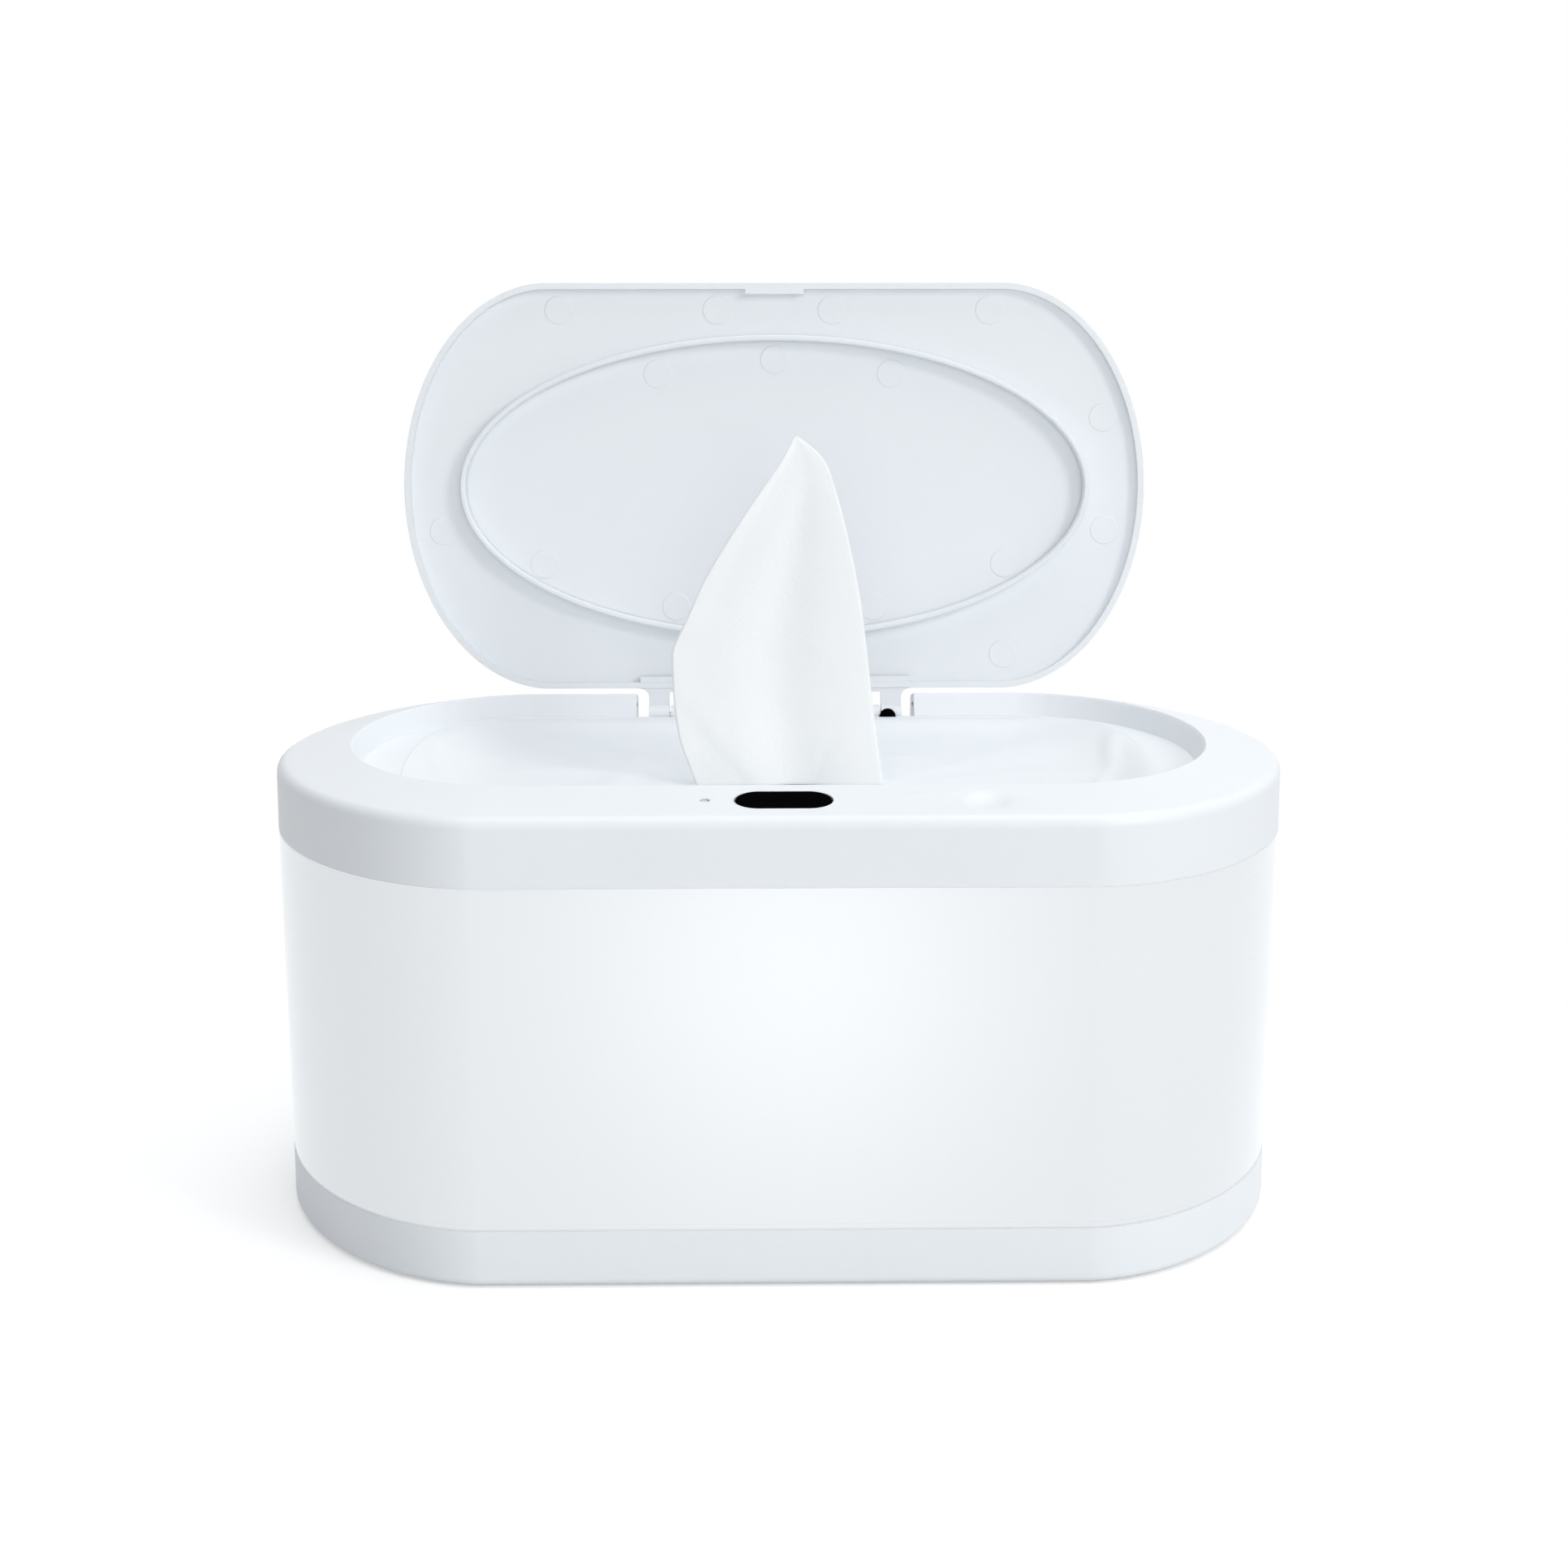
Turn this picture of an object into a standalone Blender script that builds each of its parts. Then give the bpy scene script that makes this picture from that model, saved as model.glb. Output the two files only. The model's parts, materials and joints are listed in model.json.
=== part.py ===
"""Baby wipe warmer: an oval, lit box of wipes with a sprung lid, modelled piece by piece.

Metres, +Z up, +Y to the back. The origin is the middle of the footprint, on the table.
"""
import math
from dataclasses import dataclass, replace

import bmesh
import bpy
from mathutils import Matrix, Vector

# Fits
GAP = 0.0003              # air between pieces that touch
OVERRUN = 0.003           # how far a cutter runs past what it cuts
BITE = 0.0005             # how far a joined shape reaches into its carrier
WALL = 0.0024             # moulded walls

# Body
BODY_WIDTH = 0.250
BODY_DEPTH = 0.1612
BODY_END = 0.0558         # length of each rounded end
END_POWER = 1.85          # roundness of the two ends, 2 is an ellipse
BASE_HEIGHT = 0.0142
BASE_EDGE_RADIUS = 0.0018
FOOT_STAND = 0.0005       # how far the feet lift the base
SHELL_TAPER = 0.0012      # how much the shell draws in towards the base
SHELL_FOOT = 0.0012       # strip along the shell's lower edge
SHELL_FOOT_STEP = 0.0002
LIP_HEIGHT = 0.0035       # spigots that centre the shells on each other
LIP_WALL = 0.0014

# Top housing
RIM_HEIGHT = 0.1150       # top of the recess edge
DECK_FALL = 0.0028        # from the recess to the edge of the front deck
BAND_HEIGHT = 0.0165      # from the shell to the edge of the deck
DECK_EDGE_RADIUS = 0.0030
RIM_RADIUS = 0.0008

# Recess
SIDE_DECK = 0.01885       # deck beside the recess, and before and behind it
FRONT_DECK = 0.02325
BACK_DECK = 0.01645
RECESS_END = 0.04265
RECESS_DRAFT = 0.0016
LEDGE_DROP = 0.0058
LEDGE_END = 0.01315       # ledge round the mouth, which is wider at the ends
LEDGE_SIDE = 0.00675
MOUTH_END = 0.0230
MOUTH_POWER = 2.6

# Tub
TUB_FLOOR_HEIGHT = 0.0235
TUB_DRAFT = 0.0040
TUB_FLANGE = 0.0026
TUB_FLOOR_RADIUS = 0.0080

# Lid
LID_REVEAL = 0.0062       # margin between the recess edge and the lid
LID_END = 0.0393
LID_LIP = 0.0016
LID_LIP_HEIGHT = 0.0025
LID_PLATE = 0.0020
LID_EDGE_RADIUS = 0.0022
LID_CROWN = 0.0008
LID_OPEN_DEG = 94.6
SEAL_END = 0.0080         # margin between the mouth and the seal, at the ends and sides
SEAL_SIDE = 0.01325
SEAL_WALL = 0.0015
SEAL_HEIGHT = 0.0040
HOOK_WIDTH = 0.0158
HOOK_REACH = 0.0014
HOOK_BAR = 0.0009
WINDOW_WIDTH = 0.0123
WINDOW_HEIGHT = 0.0013

# Hinge
TONGUE_WIDTH = 0.0686
TONGUE_FILLET = 0.0025
BARREL_RADIUS = 0.0029
PIN_RADIUS = 0.0011
HINGE_SETBACK = 0.0074    # axis behind the lid's back edge
HINGE_DROP = 0.0007       # axis below the lid's lip
NOTCH_SIDE = 0.0034       # air beside the tongue
NOTCH_DEPTH = 0.0049      # notch floor below the axis
EAR_PLACE = 0.0272        # middle of each ear from the centre
EAR_WIDTH = 0.0022
EAR_SIDE = 0.0005
EAR_STEPS = 8
SPRING_BAY = 0.0180       # open stretch of the barrel
SPRING_RADIUS = 0.0022
SPRING_WIRE = 0.0004
SPRING_TURNS = 8
STUD_RADIUS = 0.0022
STUD_PLACE = 0.0305
STUD_STAND = 0.0007

# Button and catch
BUTTON_LENGTH = 0.0222
BUTTON_DEPTH = 0.0108
BUTTON_SETBACK = 0.0110   # middle of the button in front of the recess edge
BUTTON_STAND = 0.0004
BUTTON_EDGE = 0.0006
BUTTON_FLANGE = 0.0006
BUTTON_TRAVEL = 0.0015
POST_PLACE = 0.0080
POST_WIDTH = 0.0024
POST_DEPTH = 0.0020
POST_DROP = 0.0034
TRAY_WIDTH = 0.0340
TRAY_WALL = 0.0015
CATCH_PLATE = 0.0012
CATCH_WIDTH = 0.0286
CATCH_NOSE_WIDTH = 0.0100
CATCH_NOSE = 0.0007
CATCH_ARM = 0.0009
CATCH_ARM_WIDTH = 0.0020
CATCH_REACH = 0.0013      # how far the nose enters the lid's window
CATCH_SPRING_RADIUS = 0.0014
CATCH_SPRING_WIRE = 0.0002
CATCH_SPRING_TURNS = 5

# Indicator, dimple and night light
INDICATOR_PLACE = 0.0181
INDICATOR_RADIUS = 0.0009
INDICATOR_FLANGE = 0.0020
INDICATOR_LENGTH = 0.0060
DIMPLE_PLACE = 0.0468
DIMPLE_RADIUS = 0.0065
DIMPLE_SPHERE = 0.0180
TOUCH_PAD_RADIUS = 0.0055
TOUCH_PAD_HEIGHT = 0.0030
BOARD = 0.0016
LED_BOARD_WIDTH = 0.0600
LED_BOARD_HEIGHT = 0.0120
LED_BOARD_DROP = 0.0007   # top of the board below the shell's
LED_BOARD_SETBACK = 0.0100
LED_SPACING = 0.0200
LED_SIZE = 0.0030
LED_HEIGHT = 0.0016
LED_ARM = 0.0030

# Heater stack under the tub
HEATER_INSET = 0.0100
HEATER_PLATE = 0.0012
HEATER_FILM = 0.0008
PAD_THICKNESS = 0.0050
THERMOSTAT_RADIUS = 0.0060
THERMOSTAT_HEIGHT = 0.0040
THERMOSTAT_PLACE = 0.0300
FUSE_RADIUS = 0.0015
FUSE_LENGTH = 0.0120

# Base fittings
BASE_FLOOR = 0.0024
BASE_CHAMFER = 0.00375     # sloped corner between the base's floor and walls, inside
RIB_WALL = 0.0020
RIB_END = 0.0190          # rib from the end of the heater above it
RIB_LENGTH = 0.0600
BOSS_END = 0.0370         # screw bosses from the body's ends and sides
BOSS_SIDE = 0.0191
BOSS_RADIUS = 0.0042
SCREW_RADIUS = 0.0014
SCREW_HEAD_RADIUS = 0.0028
SCREW_HEAD = 0.0018
SCREW_LENGTH = 0.0120
FOOT_END = 0.0550
FOOT_SIDE = 0.0266
FOOT_RADIUS = 0.0065
FOOT_SEAT = 0.0010
CONTROL_WIDTH = 0.0640
CONTROL_DEPTH = 0.0400
CONTROL_STAND = 0.0010
CHIP_HEIGHT = 0.0022
SOCKET_WIDTH = 0.0090
SOCKET_HEIGHT = 0.0074
SOCKET_LENGTH = 0.0130
SOCKET_LIFT = 0.0080      # middle of the socket above the table
SOCKET_BORE = 0.0026
SOCKET_PIN = 0.0008
SOCKET_MOUTH = 0.0040

# Wipes
PACK_SLACK = 0.0010       # air between the pack and the tub's walls
PACK_EDGE_DROP = 0.0012   # how far the film's edge lies below the ledge
PACK_SAG = 0.0053         # how far its middle does
PACK_CREASE = 0.0003
WIPE_HEIGHT = 0.0870
WIPE_WIDTH = 0.0500
WIPE_FORWARD = 0.0060     # the wipe comes up in front of the middle
WIPE_CLOTH = 0.0010
WIPE_FOLD = 0.0035
WIPE_FOLDS = 1.25
WIPE_STEPS = 16
PACK_WAVES = 7

OVAL_POINTS = 64
SMALL_POINTS = 40
ROUND_SIDES = 24
ARC_STEPS = 5
SHARP_ANGLE_DEG = 35

PLASTIC = ((0.86, 0.88, 0.90), 0.45, 0.0)
FINISHES = {
    "white plastic": PLASTIC,
    "milky plastic": ((0.93, 0.95, 0.97), 0.35, 0.0),
    "tub plastic": ((0.84, 0.86, 0.88), 0.40, 0.0),
    "black plastic": ((0.01, 0.01, 0.01), 0.30, 0.0),
    "black rubber": ((0.03, 0.03, 0.03), 0.70, 0.0),
    "clear plastic": ((0.85, 0.87, 0.88), 0.15, 0.0),
    "steel": ((0.62, 0.63, 0.65), 0.30, 1.0),
    "aluminium": ((0.78, 0.79, 0.80), 0.35, 1.0),
    "heater film": ((0.70, 0.36, 0.12), 0.40, 0.0),
    "insulation": ((0.75, 0.75, 0.73), 0.90, 0.0),
    "circuit board": ((0.05, 0.25, 0.13), 0.45, 0.0),
    "lamp": ((0.95, 0.95, 0.85), 0.30, 0.0),
    "film": ((0.90, 0.92, 0.94), 0.20, 0.0),
    "cloth": ((0.95, 0.96, 0.97), 0.90, 0.0),
}


@dataclass(frozen=True)
class Oval:
    """A plan outline: straight front and back runs joined by rounded ends."""
    half_x: float
    half_y: float
    end: float
    centre_y: float = 0.0
    power: float = END_POWER
    count: int = OVAL_POINTS

    def inset(self, distance):
        return replace(self, half_x=self.half_x - distance, half_y=self.half_y - distance,
                       end=self.end - distance)

    def shrunk(self, share):
        return replace(self, half_x=self.half_x * share, half_y=self.half_y * share, end=self.end * share)

    def ring(self, height):
        points = []
        for index in range(self.count):
            turn = math.tau * (index + 0.5) / self.count
            side = math.copysign(1.0, math.cos(turn))
            reach = abs(math.cos(turn)) ** (2 / self.power)
            rise = abs(math.sin(turn)) ** (2 / self.power)
            x = side * (self.half_x - self.end + self.end * reach)
            y = self.centre_y + math.copysign(self.half_y * rise, math.sin(turn))
            points.append(Vector((x, y, height)))
        return points


BODY = Oval(BODY_WIDTH / 2, BODY_DEPTH / 2, BODY_END)
DECK_EDGE_HEIGHT = RIM_HEIGHT - DECK_FALL
SHELL_TOP = DECK_EDGE_HEIGHT - BAND_HEIGHT
RECESS = Oval(BODY.half_x - SIDE_DECK, BODY.half_y - (FRONT_DECK + BACK_DECK) / 2, RECESS_END,
              (FRONT_DECK - BACK_DECK) / 2, 2.0)
LEDGE_HEIGHT = RIM_HEIGHT - LEDGE_DROP
MOUTH = Oval(RECESS.half_x - LEDGE_END, RECESS.half_y - LEDGE_SIDE, MOUTH_END, RECESS.centre_y, MOUTH_POWER)
LID = replace(RECESS.inset(LID_REVEAL), end=LID_END)
LID_LOW = LEDGE_HEIGHT + GAP
LID_UNDER = LID_LOW + LID_LIP_HEIGHT
LID_TOP = LID_UNDER + LID_PLATE
LID_BACK = LID.centre_y + LID.half_y
LID_FRONT = LID.centre_y - LID.half_y
HINGE = Vector((0.0, LID_BACK + HINGE_SETBACK, LID_LOW - HINGE_DROP))
RECESS_FRONT = RECESS.centre_y - RECESS.half_y
RECESS_BACK = RECESS.centre_y + RECESS.half_y
DECK_FRONT = -BODY.half_y + DECK_EDGE_RADIUS
DECK_SLOPE = math.atan2(RIM_HEIGHT - DECK_EDGE_HEIGHT, RECESS_FRONT - RIM_RADIUS - DECK_FRONT)
BUTTON_Y = RECESS_FRONT - BUTTON_SETBACK
LIP_OUTSIDE = WALL + GAP
LIP_INSIDE = LIP_OUTSIDE + LIP_WALL
LED_BOARD_TOP = SHELL_TOP - LED_BOARD_DROP
HEATER = MOUTH.inset(TUB_DRAFT + HEATER_INSET)
BOSS_X, BOSS_Y = BODY.half_x - BOSS_END, BODY.half_y - BOSS_SIDE
FOOT_X, FOOT_Y = BODY.half_x - FOOT_END, BODY.half_y - FOOT_SIDE


def deck_height(y):
    """Height of the front deck's top face at a distance y."""
    return RIM_HEIGHT - (RECESS_FRONT - RIM_RADIUS - y) * math.tan(DECK_SLOPE)


def make_collection(name, parent):
    collection = bpy.data.collections.new(name)
    parent.children.link(collection)
    return collection


def clear_scene():
    for item in list(bpy.data.objects):
        bpy.data.objects.remove(item, do_unlink=True)


clear_scene()
PARTS = make_collection("baby wipe warmer", bpy.context.scene.collection)
TOOLS = make_collection("cutters and joined shapes", bpy.context.scene.collection)


def material(finish):
    made = bpy.data.materials.get(finish)
    if made is None:
        colour, roughness, metallic = FINISHES[finish]
        made = bpy.data.materials.new(finish)
        made.use_nodes = True
        shader = made.node_tree.nodes["Principled BSDF"]
        shader.inputs["Base Color"].default_value = (*colour, 1.0)
        shader.inputs["Roughness"].default_value = roughness
        shader.inputs["Metallic"].default_value = metallic
    return made


def finish_mesh(name, mesh, finish=None):
    """Put a mesh in the scene, as a part when it has a finish and as a tool when it has none."""
    shape = bpy.data.objects.new(name, mesh)
    if finish:
        PARTS.objects.link(shape)
        mesh.materials.append(material(finish))
        mesh.shade_smooth()
        mesh.set_sharp_from_angle(angle=math.radians(SHARP_ANGLE_DEG))
    else:
        TOOLS.objects.link(shape)
        shape.hide_render = True
        shape.display_type = "WIRE"
    return shape


def from_bmesh(name, shape, finish=None):
    shape.normal_update()
    bmesh.ops.recalc_face_normals(shape, faces=shape.faces[:])
    mesh = bpy.data.meshes.new(name)
    shape.to_mesh(mesh)
    shape.free()
    return finish_mesh(name, mesh, finish)


def loft(name, rings, finish=None, closed=False):
    """Join rings of equal counts; a closed loft is a hoop, an open one is capped at both ends."""
    shape = bmesh.new()
    rows = [[shape.verts.new(point) for point in ring] for ring in rings]
    pairs = list(zip(rows, rows[1:]))
    if closed:
        pairs.append((rows[-1], rows[0]))
    for low, high in pairs:
        for index, corner in enumerate(low):
            after = (index + 1) % len(low)
            shape.faces.new((corner, low[after], high[after], high[index]))
    if not closed:
        shape.faces.new(list(reversed(rows[0])))
        shape.faces.new(rows[-1])
    return from_bmesh(name, shape, finish)


def box(name, low, high, finish=None):
    shape = bmesh.new()
    bmesh.ops.create_cube(shape, size=1.0)
    size = [top - bottom for bottom, top in zip(low, high)]
    middle = [(top + bottom) / 2 for bottom, top in zip(low, high)]
    bmesh.ops.scale(shape, vec=size, verts=shape.verts)
    bmesh.ops.translate(shape, vec=middle, verts=shape.verts)
    return from_bmesh(name, shape, finish)


def rod(name, start, end, radius, finish=None, end_radius=None, sides=ROUND_SIDES):
    """A cylinder or cone between two points."""
    start = Vector(start)
    along = Vector(end) - start
    shape = bmesh.new()
    bmesh.ops.create_cone(shape, cap_ends=True, segments=sides, radius1=radius,
                          radius2=radius if end_radius is None else end_radius, depth=along.length)
    turn = along.to_track_quat("Z", "Y").to_matrix().to_4x4()
    shape.transform(Matrix.Translation(start + along / 2) @ turn)
    return from_bmesh(name, shape, finish)


def turned(name, profile, centre, finish=None, sides=ROUND_SIDES):
    """A solid of revolution about a vertical axis; the profile is (radius, height) from low to high."""
    rings = []
    for radius, height in profile:
        rings.append([Vector((centre[0] + radius * math.cos(math.tau * index / sides),
                              centre[1] + radius * math.sin(math.tau * index / sides), height))
                      for index in range(sides)])
    return loft(name, rings, finish)


def prism(name, outline, low_x, high_x, finish=None):
    """A (y, z) outline extruded along X."""
    ends = [[Vector((x, y, z)) for y, z in outline] for x in (low_x, high_x)]
    return loft(name, ends, finish)


def boolean(target, tool, operation):
    modifier = target.modifiers.new(tool.name, "BOOLEAN")
    modifier.operation = operation
    modifier.solver = "EXACT"
    modifier.object = tool


def cut(target, *tools):
    for tool in tools:
        boolean(target, tool, "DIFFERENCE")


def unite(target, *tools):
    for tool in tools:
        boolean(target, tool, "UNION")


def empty(name, place, tilt=0.0):
    made = bpy.data.objects.new(name, None)
    PARTS.objects.link(made)
    made.location = place
    made.rotation_euler.x = tilt
    return made


def carry(carrier, origin, *pieces):
    """Hang pieces, drawn in place, on an empty that stands at origin."""
    for piece in pieces:
        piece.data.transform(Matrix.Translation(-Vector(origin)))
        piece.parent = carrier


def fillet(inset, height, radius, start_deg, end_deg, steps=ARC_STEPS):
    """(inset, height) points on an arc; 0 degrees points out of the body and 90 points up."""
    points = []
    for index in range(steps + 1):
        angle = math.radians(start_deg + (end_deg - start_deg) * index / steps)
        points.append((inset - radius * math.cos(angle), height + radius * math.sin(angle)))
    return points


def wire(name, points, radius, finish, resolution=1):
    """A bent wire through points, as a closed mesh."""
    curve = bpy.data.curves.new(name, "CURVE")
    curve.dimensions = "3D"
    curve.bevel_depth = radius
    curve.bevel_resolution = resolution
    curve.use_fill_caps = True
    spline = curve.splines.new("POLY")
    spline.points.add(len(points) - 1)
    for target, point in zip(spline.points, points):
        target.co = (*point, 1.0)
    holder = bpy.data.objects.new(name + " curve", curve)
    bpy.context.scene.collection.objects.link(holder)
    view = bpy.context.evaluated_depsgraph_get()
    mesh = bpy.data.meshes.new_from_object(holder.evaluated_get(view))
    bpy.data.objects.remove(holder, do_unlink=True)
    bpy.data.curves.remove(curve)
    shape = bmesh.new()
    shape.from_mesh(mesh)
    bpy.data.meshes.remove(mesh)
    bmesh.ops.remove_doubles(shape, verts=shape.verts[:], dist=radius / 100)
    return from_bmesh(name, shape, finish)


def coil(start, along, radius, turns, length, points_per_turn=9):
    """Points of a helix about the line from start in the unit direction along."""
    along = Vector(along)
    side = along.orthogonal().normalized()
    up = along.cross(side)
    points = []
    for index in range(turns * points_per_turn + 1):
        angle = math.tau * index / points_per_turn
        shift = length * index / (turns * points_per_turn)
        swing = side * math.cos(angle) + up * math.sin(angle)
        points.append(Vector(start) + along * shift + swing * radius)
    return points


def least_turn_gap(length, turns, wire_radius):
    """Least air between neighbouring turns of an evenly wound coil."""
    return length / turns - 2 * wire_radius


# Base

BASE_TOP_OVAL = BODY.inset(SHELL_TAPER)


def make_base():
    outer = [(BASE_EDGE_RADIUS, FOOT_STAND)]
    outer += fillet(BASE_EDGE_RADIUS, FOOT_STAND + BASE_EDGE_RADIUS, BASE_EDGE_RADIUS, -90, 0)[1:]
    outer += [(0.0, BASE_HEIGHT - GAP), (LIP_OUTSIDE, BASE_HEIGHT - GAP)]
    outer += [(LIP_OUTSIDE, BASE_HEIGHT + LIP_HEIGHT), (LIP_INSIDE, BASE_HEIGHT + LIP_HEIGHT)]
    floor = FOOT_STAND + BASE_FLOOR
    inner = [(LIP_INSIDE, floor + BASE_CHAMFER), (LIP_INSIDE + BASE_CHAMFER, floor)]
    rings = [BASE_TOP_OVAL.inset(inset).ring(height) for inset, height in outer + inner]
    base = loft("base", rings, "white plastic")
    pad_under = heater_levels()["pad"][0] - GAP
    for side in (-1, 1):
        x = side * (HEATER.half_x - RIB_END)
        unite(base, box(f"base rib {side}", (x - RIB_WALL / 2, -RIB_LENGTH / 2, floor - BITE),
                        (x + RIB_WALL / 2, RIB_LENGTH / 2, pad_under)))
    stand_radius = 2 * SCREW_RADIUS
    for x, y in corners(CONTROL_WIDTH / 2 - stand_radius, CONTROL_DEPTH / 2 - stand_radius):
        unite(base, rod(f"board stand {x:.3f} {y:.3f}", (x, y, floor - BITE), (x, y, floor + CONTROL_STAND),
                        stand_radius, sides=12))
    for x, y in corners(FOOT_X, FOOT_Y):
        cut(base, rod(f"foot seat {x:.3f} {y:.3f}", (x, y, FOOT_STAND - OVERRUN),
                      (x, y, FOOT_STAND + FOOT_SEAT), FOOT_RADIUS + GAP))
    for x, y in corners(BOSS_X, BOSS_Y):
        unite(base, rod(f"boss post {x:.3f} {y:.3f}", (x, y, floor - BITE), (x, y, boss_seat()),
                        BOSS_RADIUS, sides=16))
        cut(base, rod(f"screw hole {x:.3f} {y:.3f}", (x, y, 0.0), (x, y, boss_seat() + OVERRUN),
                      SCREW_RADIUS + GAP, sides=12))
        cut(base, rod(f"head seat {x:.3f} {y:.3f}", (x, y, FOOT_STAND - OVERRUN),
                      (x, y, FOOT_STAND + SCREW_HEAD / 2), SCREW_HEAD_RADIUS + GAP))
    half = SOCKET_WIDTH / 2 + GAP
    low, high = SOCKET_LIFT - SOCKET_HEIGHT / 2 - GAP, SOCKET_LIFT + SOCKET_HEIGHT / 2 + GAP
    inside = BODY.half_y - WALL - LIP_WALL - 2 * BASE_CHAMFER
    back = BASE_TOP_OVAL.half_y - WALL
    unite(base, box("socket housing", (-half - WALL, inside - SOCKET_LENGTH, floor - BITE),
                    (half + WALL, back - GAP - BITE, high + GAP)))
    cut(base, box("socket seat", (-half, inside - SOCKET_LENGTH - OVERRUN, low),
                  (half, back, high + OVERRUN)))
    cut(base, rod("socket mouth", (0, back - WALL, SOCKET_LIFT), (0, BODY.half_y + OVERRUN, SOCKET_LIFT),
                  SOCKET_MOUTH - GAP))
    return base


def corners(x, y):
    return [(-x, -y), (x, -y), (x, y), (-x, y)]


def make_feet_and_screws():
    for index, (x, y) in enumerate(corners(FOOT_X, FOOT_Y), 1):
        top = FOOT_STAND + FOOT_SEAT - GAP
        edge = FOOT_STAND / 4
        turned(f"base_foot_{index}", [(FOOT_RADIUS - edge, 0.0), (FOOT_RADIUS, edge), (FOOT_RADIUS, top)],
               (x, y), "black rubber")
    for index, (x, y) in enumerate(corners(BOSS_X, BOSS_Y), 1):
        head = FOOT_STAND + SCREW_HEAD / 2 - GAP
        tip = FOOT_STAND + SCREW_LENGTH
        turned(f"base_screw_{index}",
               [(SCREW_HEAD_RADIUS, head - SCREW_HEAD / 3), (SCREW_HEAD_RADIUS, head), (SCREW_RADIUS, head),
                (SCREW_RADIUS, tip - SCREW_RADIUS), (SCREW_RADIUS / 4, tip)], (x, y), "steel", sides=12)


# Lamp shell

def make_lamp_shell():
    low, high = BASE_HEIGHT, SHELL_TOP - GAP
    strip = SHELL_TAPER + SHELL_FOOT_STEP
    profile = [(strip, low), (strip, low + SHELL_FOOT), (SHELL_TAPER, low + SHELL_FOOT), (0.0, high)]
    profile += [(LIP_OUTSIDE, high), (LIP_OUTSIDE, high + LIP_HEIGHT)]
    profile += [(LIP_INSIDE, high + LIP_HEIGHT), (LIP_INSIDE, high - LIP_HEIGHT)]
    profile += [(WALL, high - LIP_HEIGHT - WALL), (SHELL_TAPER + WALL, low)]
    rings = [BODY.inset(inset).ring(height) for inset, height in profile]
    return loft("lamp_shell", rings, "milky plastic", closed=True)


# Top housing

def housing_rings():
    rings = [BODY.ring(SHELL_TOP)]
    centre = DECK_EDGE_HEIGHT - DECK_EDGE_RADIUS
    edge = fillet(DECK_EDGE_RADIUS, centre, DECK_EDGE_RADIUS, 0, 85)
    rings += [BODY.inset(inset).ring(height) for inset, height in edge]
    rings += [RECESS.inset(-RIM_RADIUS).ring(RIM_HEIGHT), RECESS.ring(RIM_HEIGHT - RIM_RADIUS)]
    under = LEDGE_HEIGHT - WALL
    rings += [RECESS.inset(RECESS_DRAFT).ring(LEDGE_HEIGHT), MOUTH.ring(LEDGE_HEIGHT), MOUTH.ring(under)]
    rings += [RECESS.inset(-WALL).ring(under), RECESS.inset(-WALL).ring(RIM_HEIGHT - WALL)]
    rings += [BODY.inset(WALL + DECK_EDGE_RADIUS / 2).ring(DECK_EDGE_HEIGHT - WALL)]
    rings += [BODY.inset(WALL).ring(centre), BODY.inset(WALL).ring(SHELL_TOP)]
    return rings


def make_housing():
    housing = loft("top_housing", housing_rings(), "white plastic", closed=True)
    add_hinge_saddle(housing)
    add_bosses(housing)
    cut_button_hole(housing)
    cut_catch_slot(housing)
    cut_indicator(housing)
    cut_dimple(housing)
    return housing


def notch_half():
    return TONGUE_WIDTH / 2 + NOTCH_SIDE


def add_hinge_saddle(housing):
    floor = HINGE.z - NOTCH_DEPTH
    front = HINGE.y - BARREL_RADIUS - EAR_SIDE
    back = BODY.half_y
    inside = MOUTH.centre_y + MOUTH.half_y + TUB_FLANGE + GAP
    unite(housing, box("hinge saddle", (-notch_half() - WALL, inside, floor - WALL),
                       (notch_half() + WALL, back - WALL + BITE, LEDGE_HEIGHT - BITE)))
    unite(housing, box("saddle cheeks", (-notch_half() - WALL, RECESS_BACK + WALL / 2, floor - WALL),
                       (notch_half() + WALL, back - WALL + BITE, DECK_EDGE_HEIGHT - WALL + BITE)))
    cut(housing, box("hinge notch", (-notch_half(), front, floor),
                     (notch_half(), back + OVERRUN, RIM_HEIGHT + OVERRUN)))
    sweep = math.hypot(BARREL_RADIUS + GAP + STUD_STAND, STUD_RADIUS) + GAP
    cut(housing, box("stud pocket", (STUD_PLACE - STUD_RADIUS - GAP, HINGE.y - sweep, floor),
                     (STUD_PLACE + STUD_RADIUS + GAP, front + BITE, RIM_HEIGHT + OVERRUN)))
    for side in (-1, 1):
        x = side * EAR_PLACE
        ear = [(HINGE.y - BARREL_RADIUS, floor - BITE), (HINGE.y + BARREL_RADIUS, floor - BITE)]
        for step in range(EAR_STEPS + 1):
            turn = math.pi * step / EAR_STEPS
            ear.append((HINGE.y + BARREL_RADIUS * math.cos(turn), HINGE.z + BARREL_RADIUS * math.sin(turn)))
        unite(housing, prism(f"hinge ear {side}", ear, x - EAR_WIDTH / 2, x + EAR_WIDTH / 2))
        cut(housing, rod(f"pin hole {side}", (x - EAR_WIDTH, HINGE.y, HINGE.z),
                         (x + EAR_WIDTH, HINGE.y, HINGE.z), PIN_RADIUS + GAP, sides=16))


def boss_seat():
    """Top of the base's short posts, on which the housing's bosses stand."""
    return FOOT_STAND + BASE_FLOOR + BASE_CHAMFER


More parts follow.
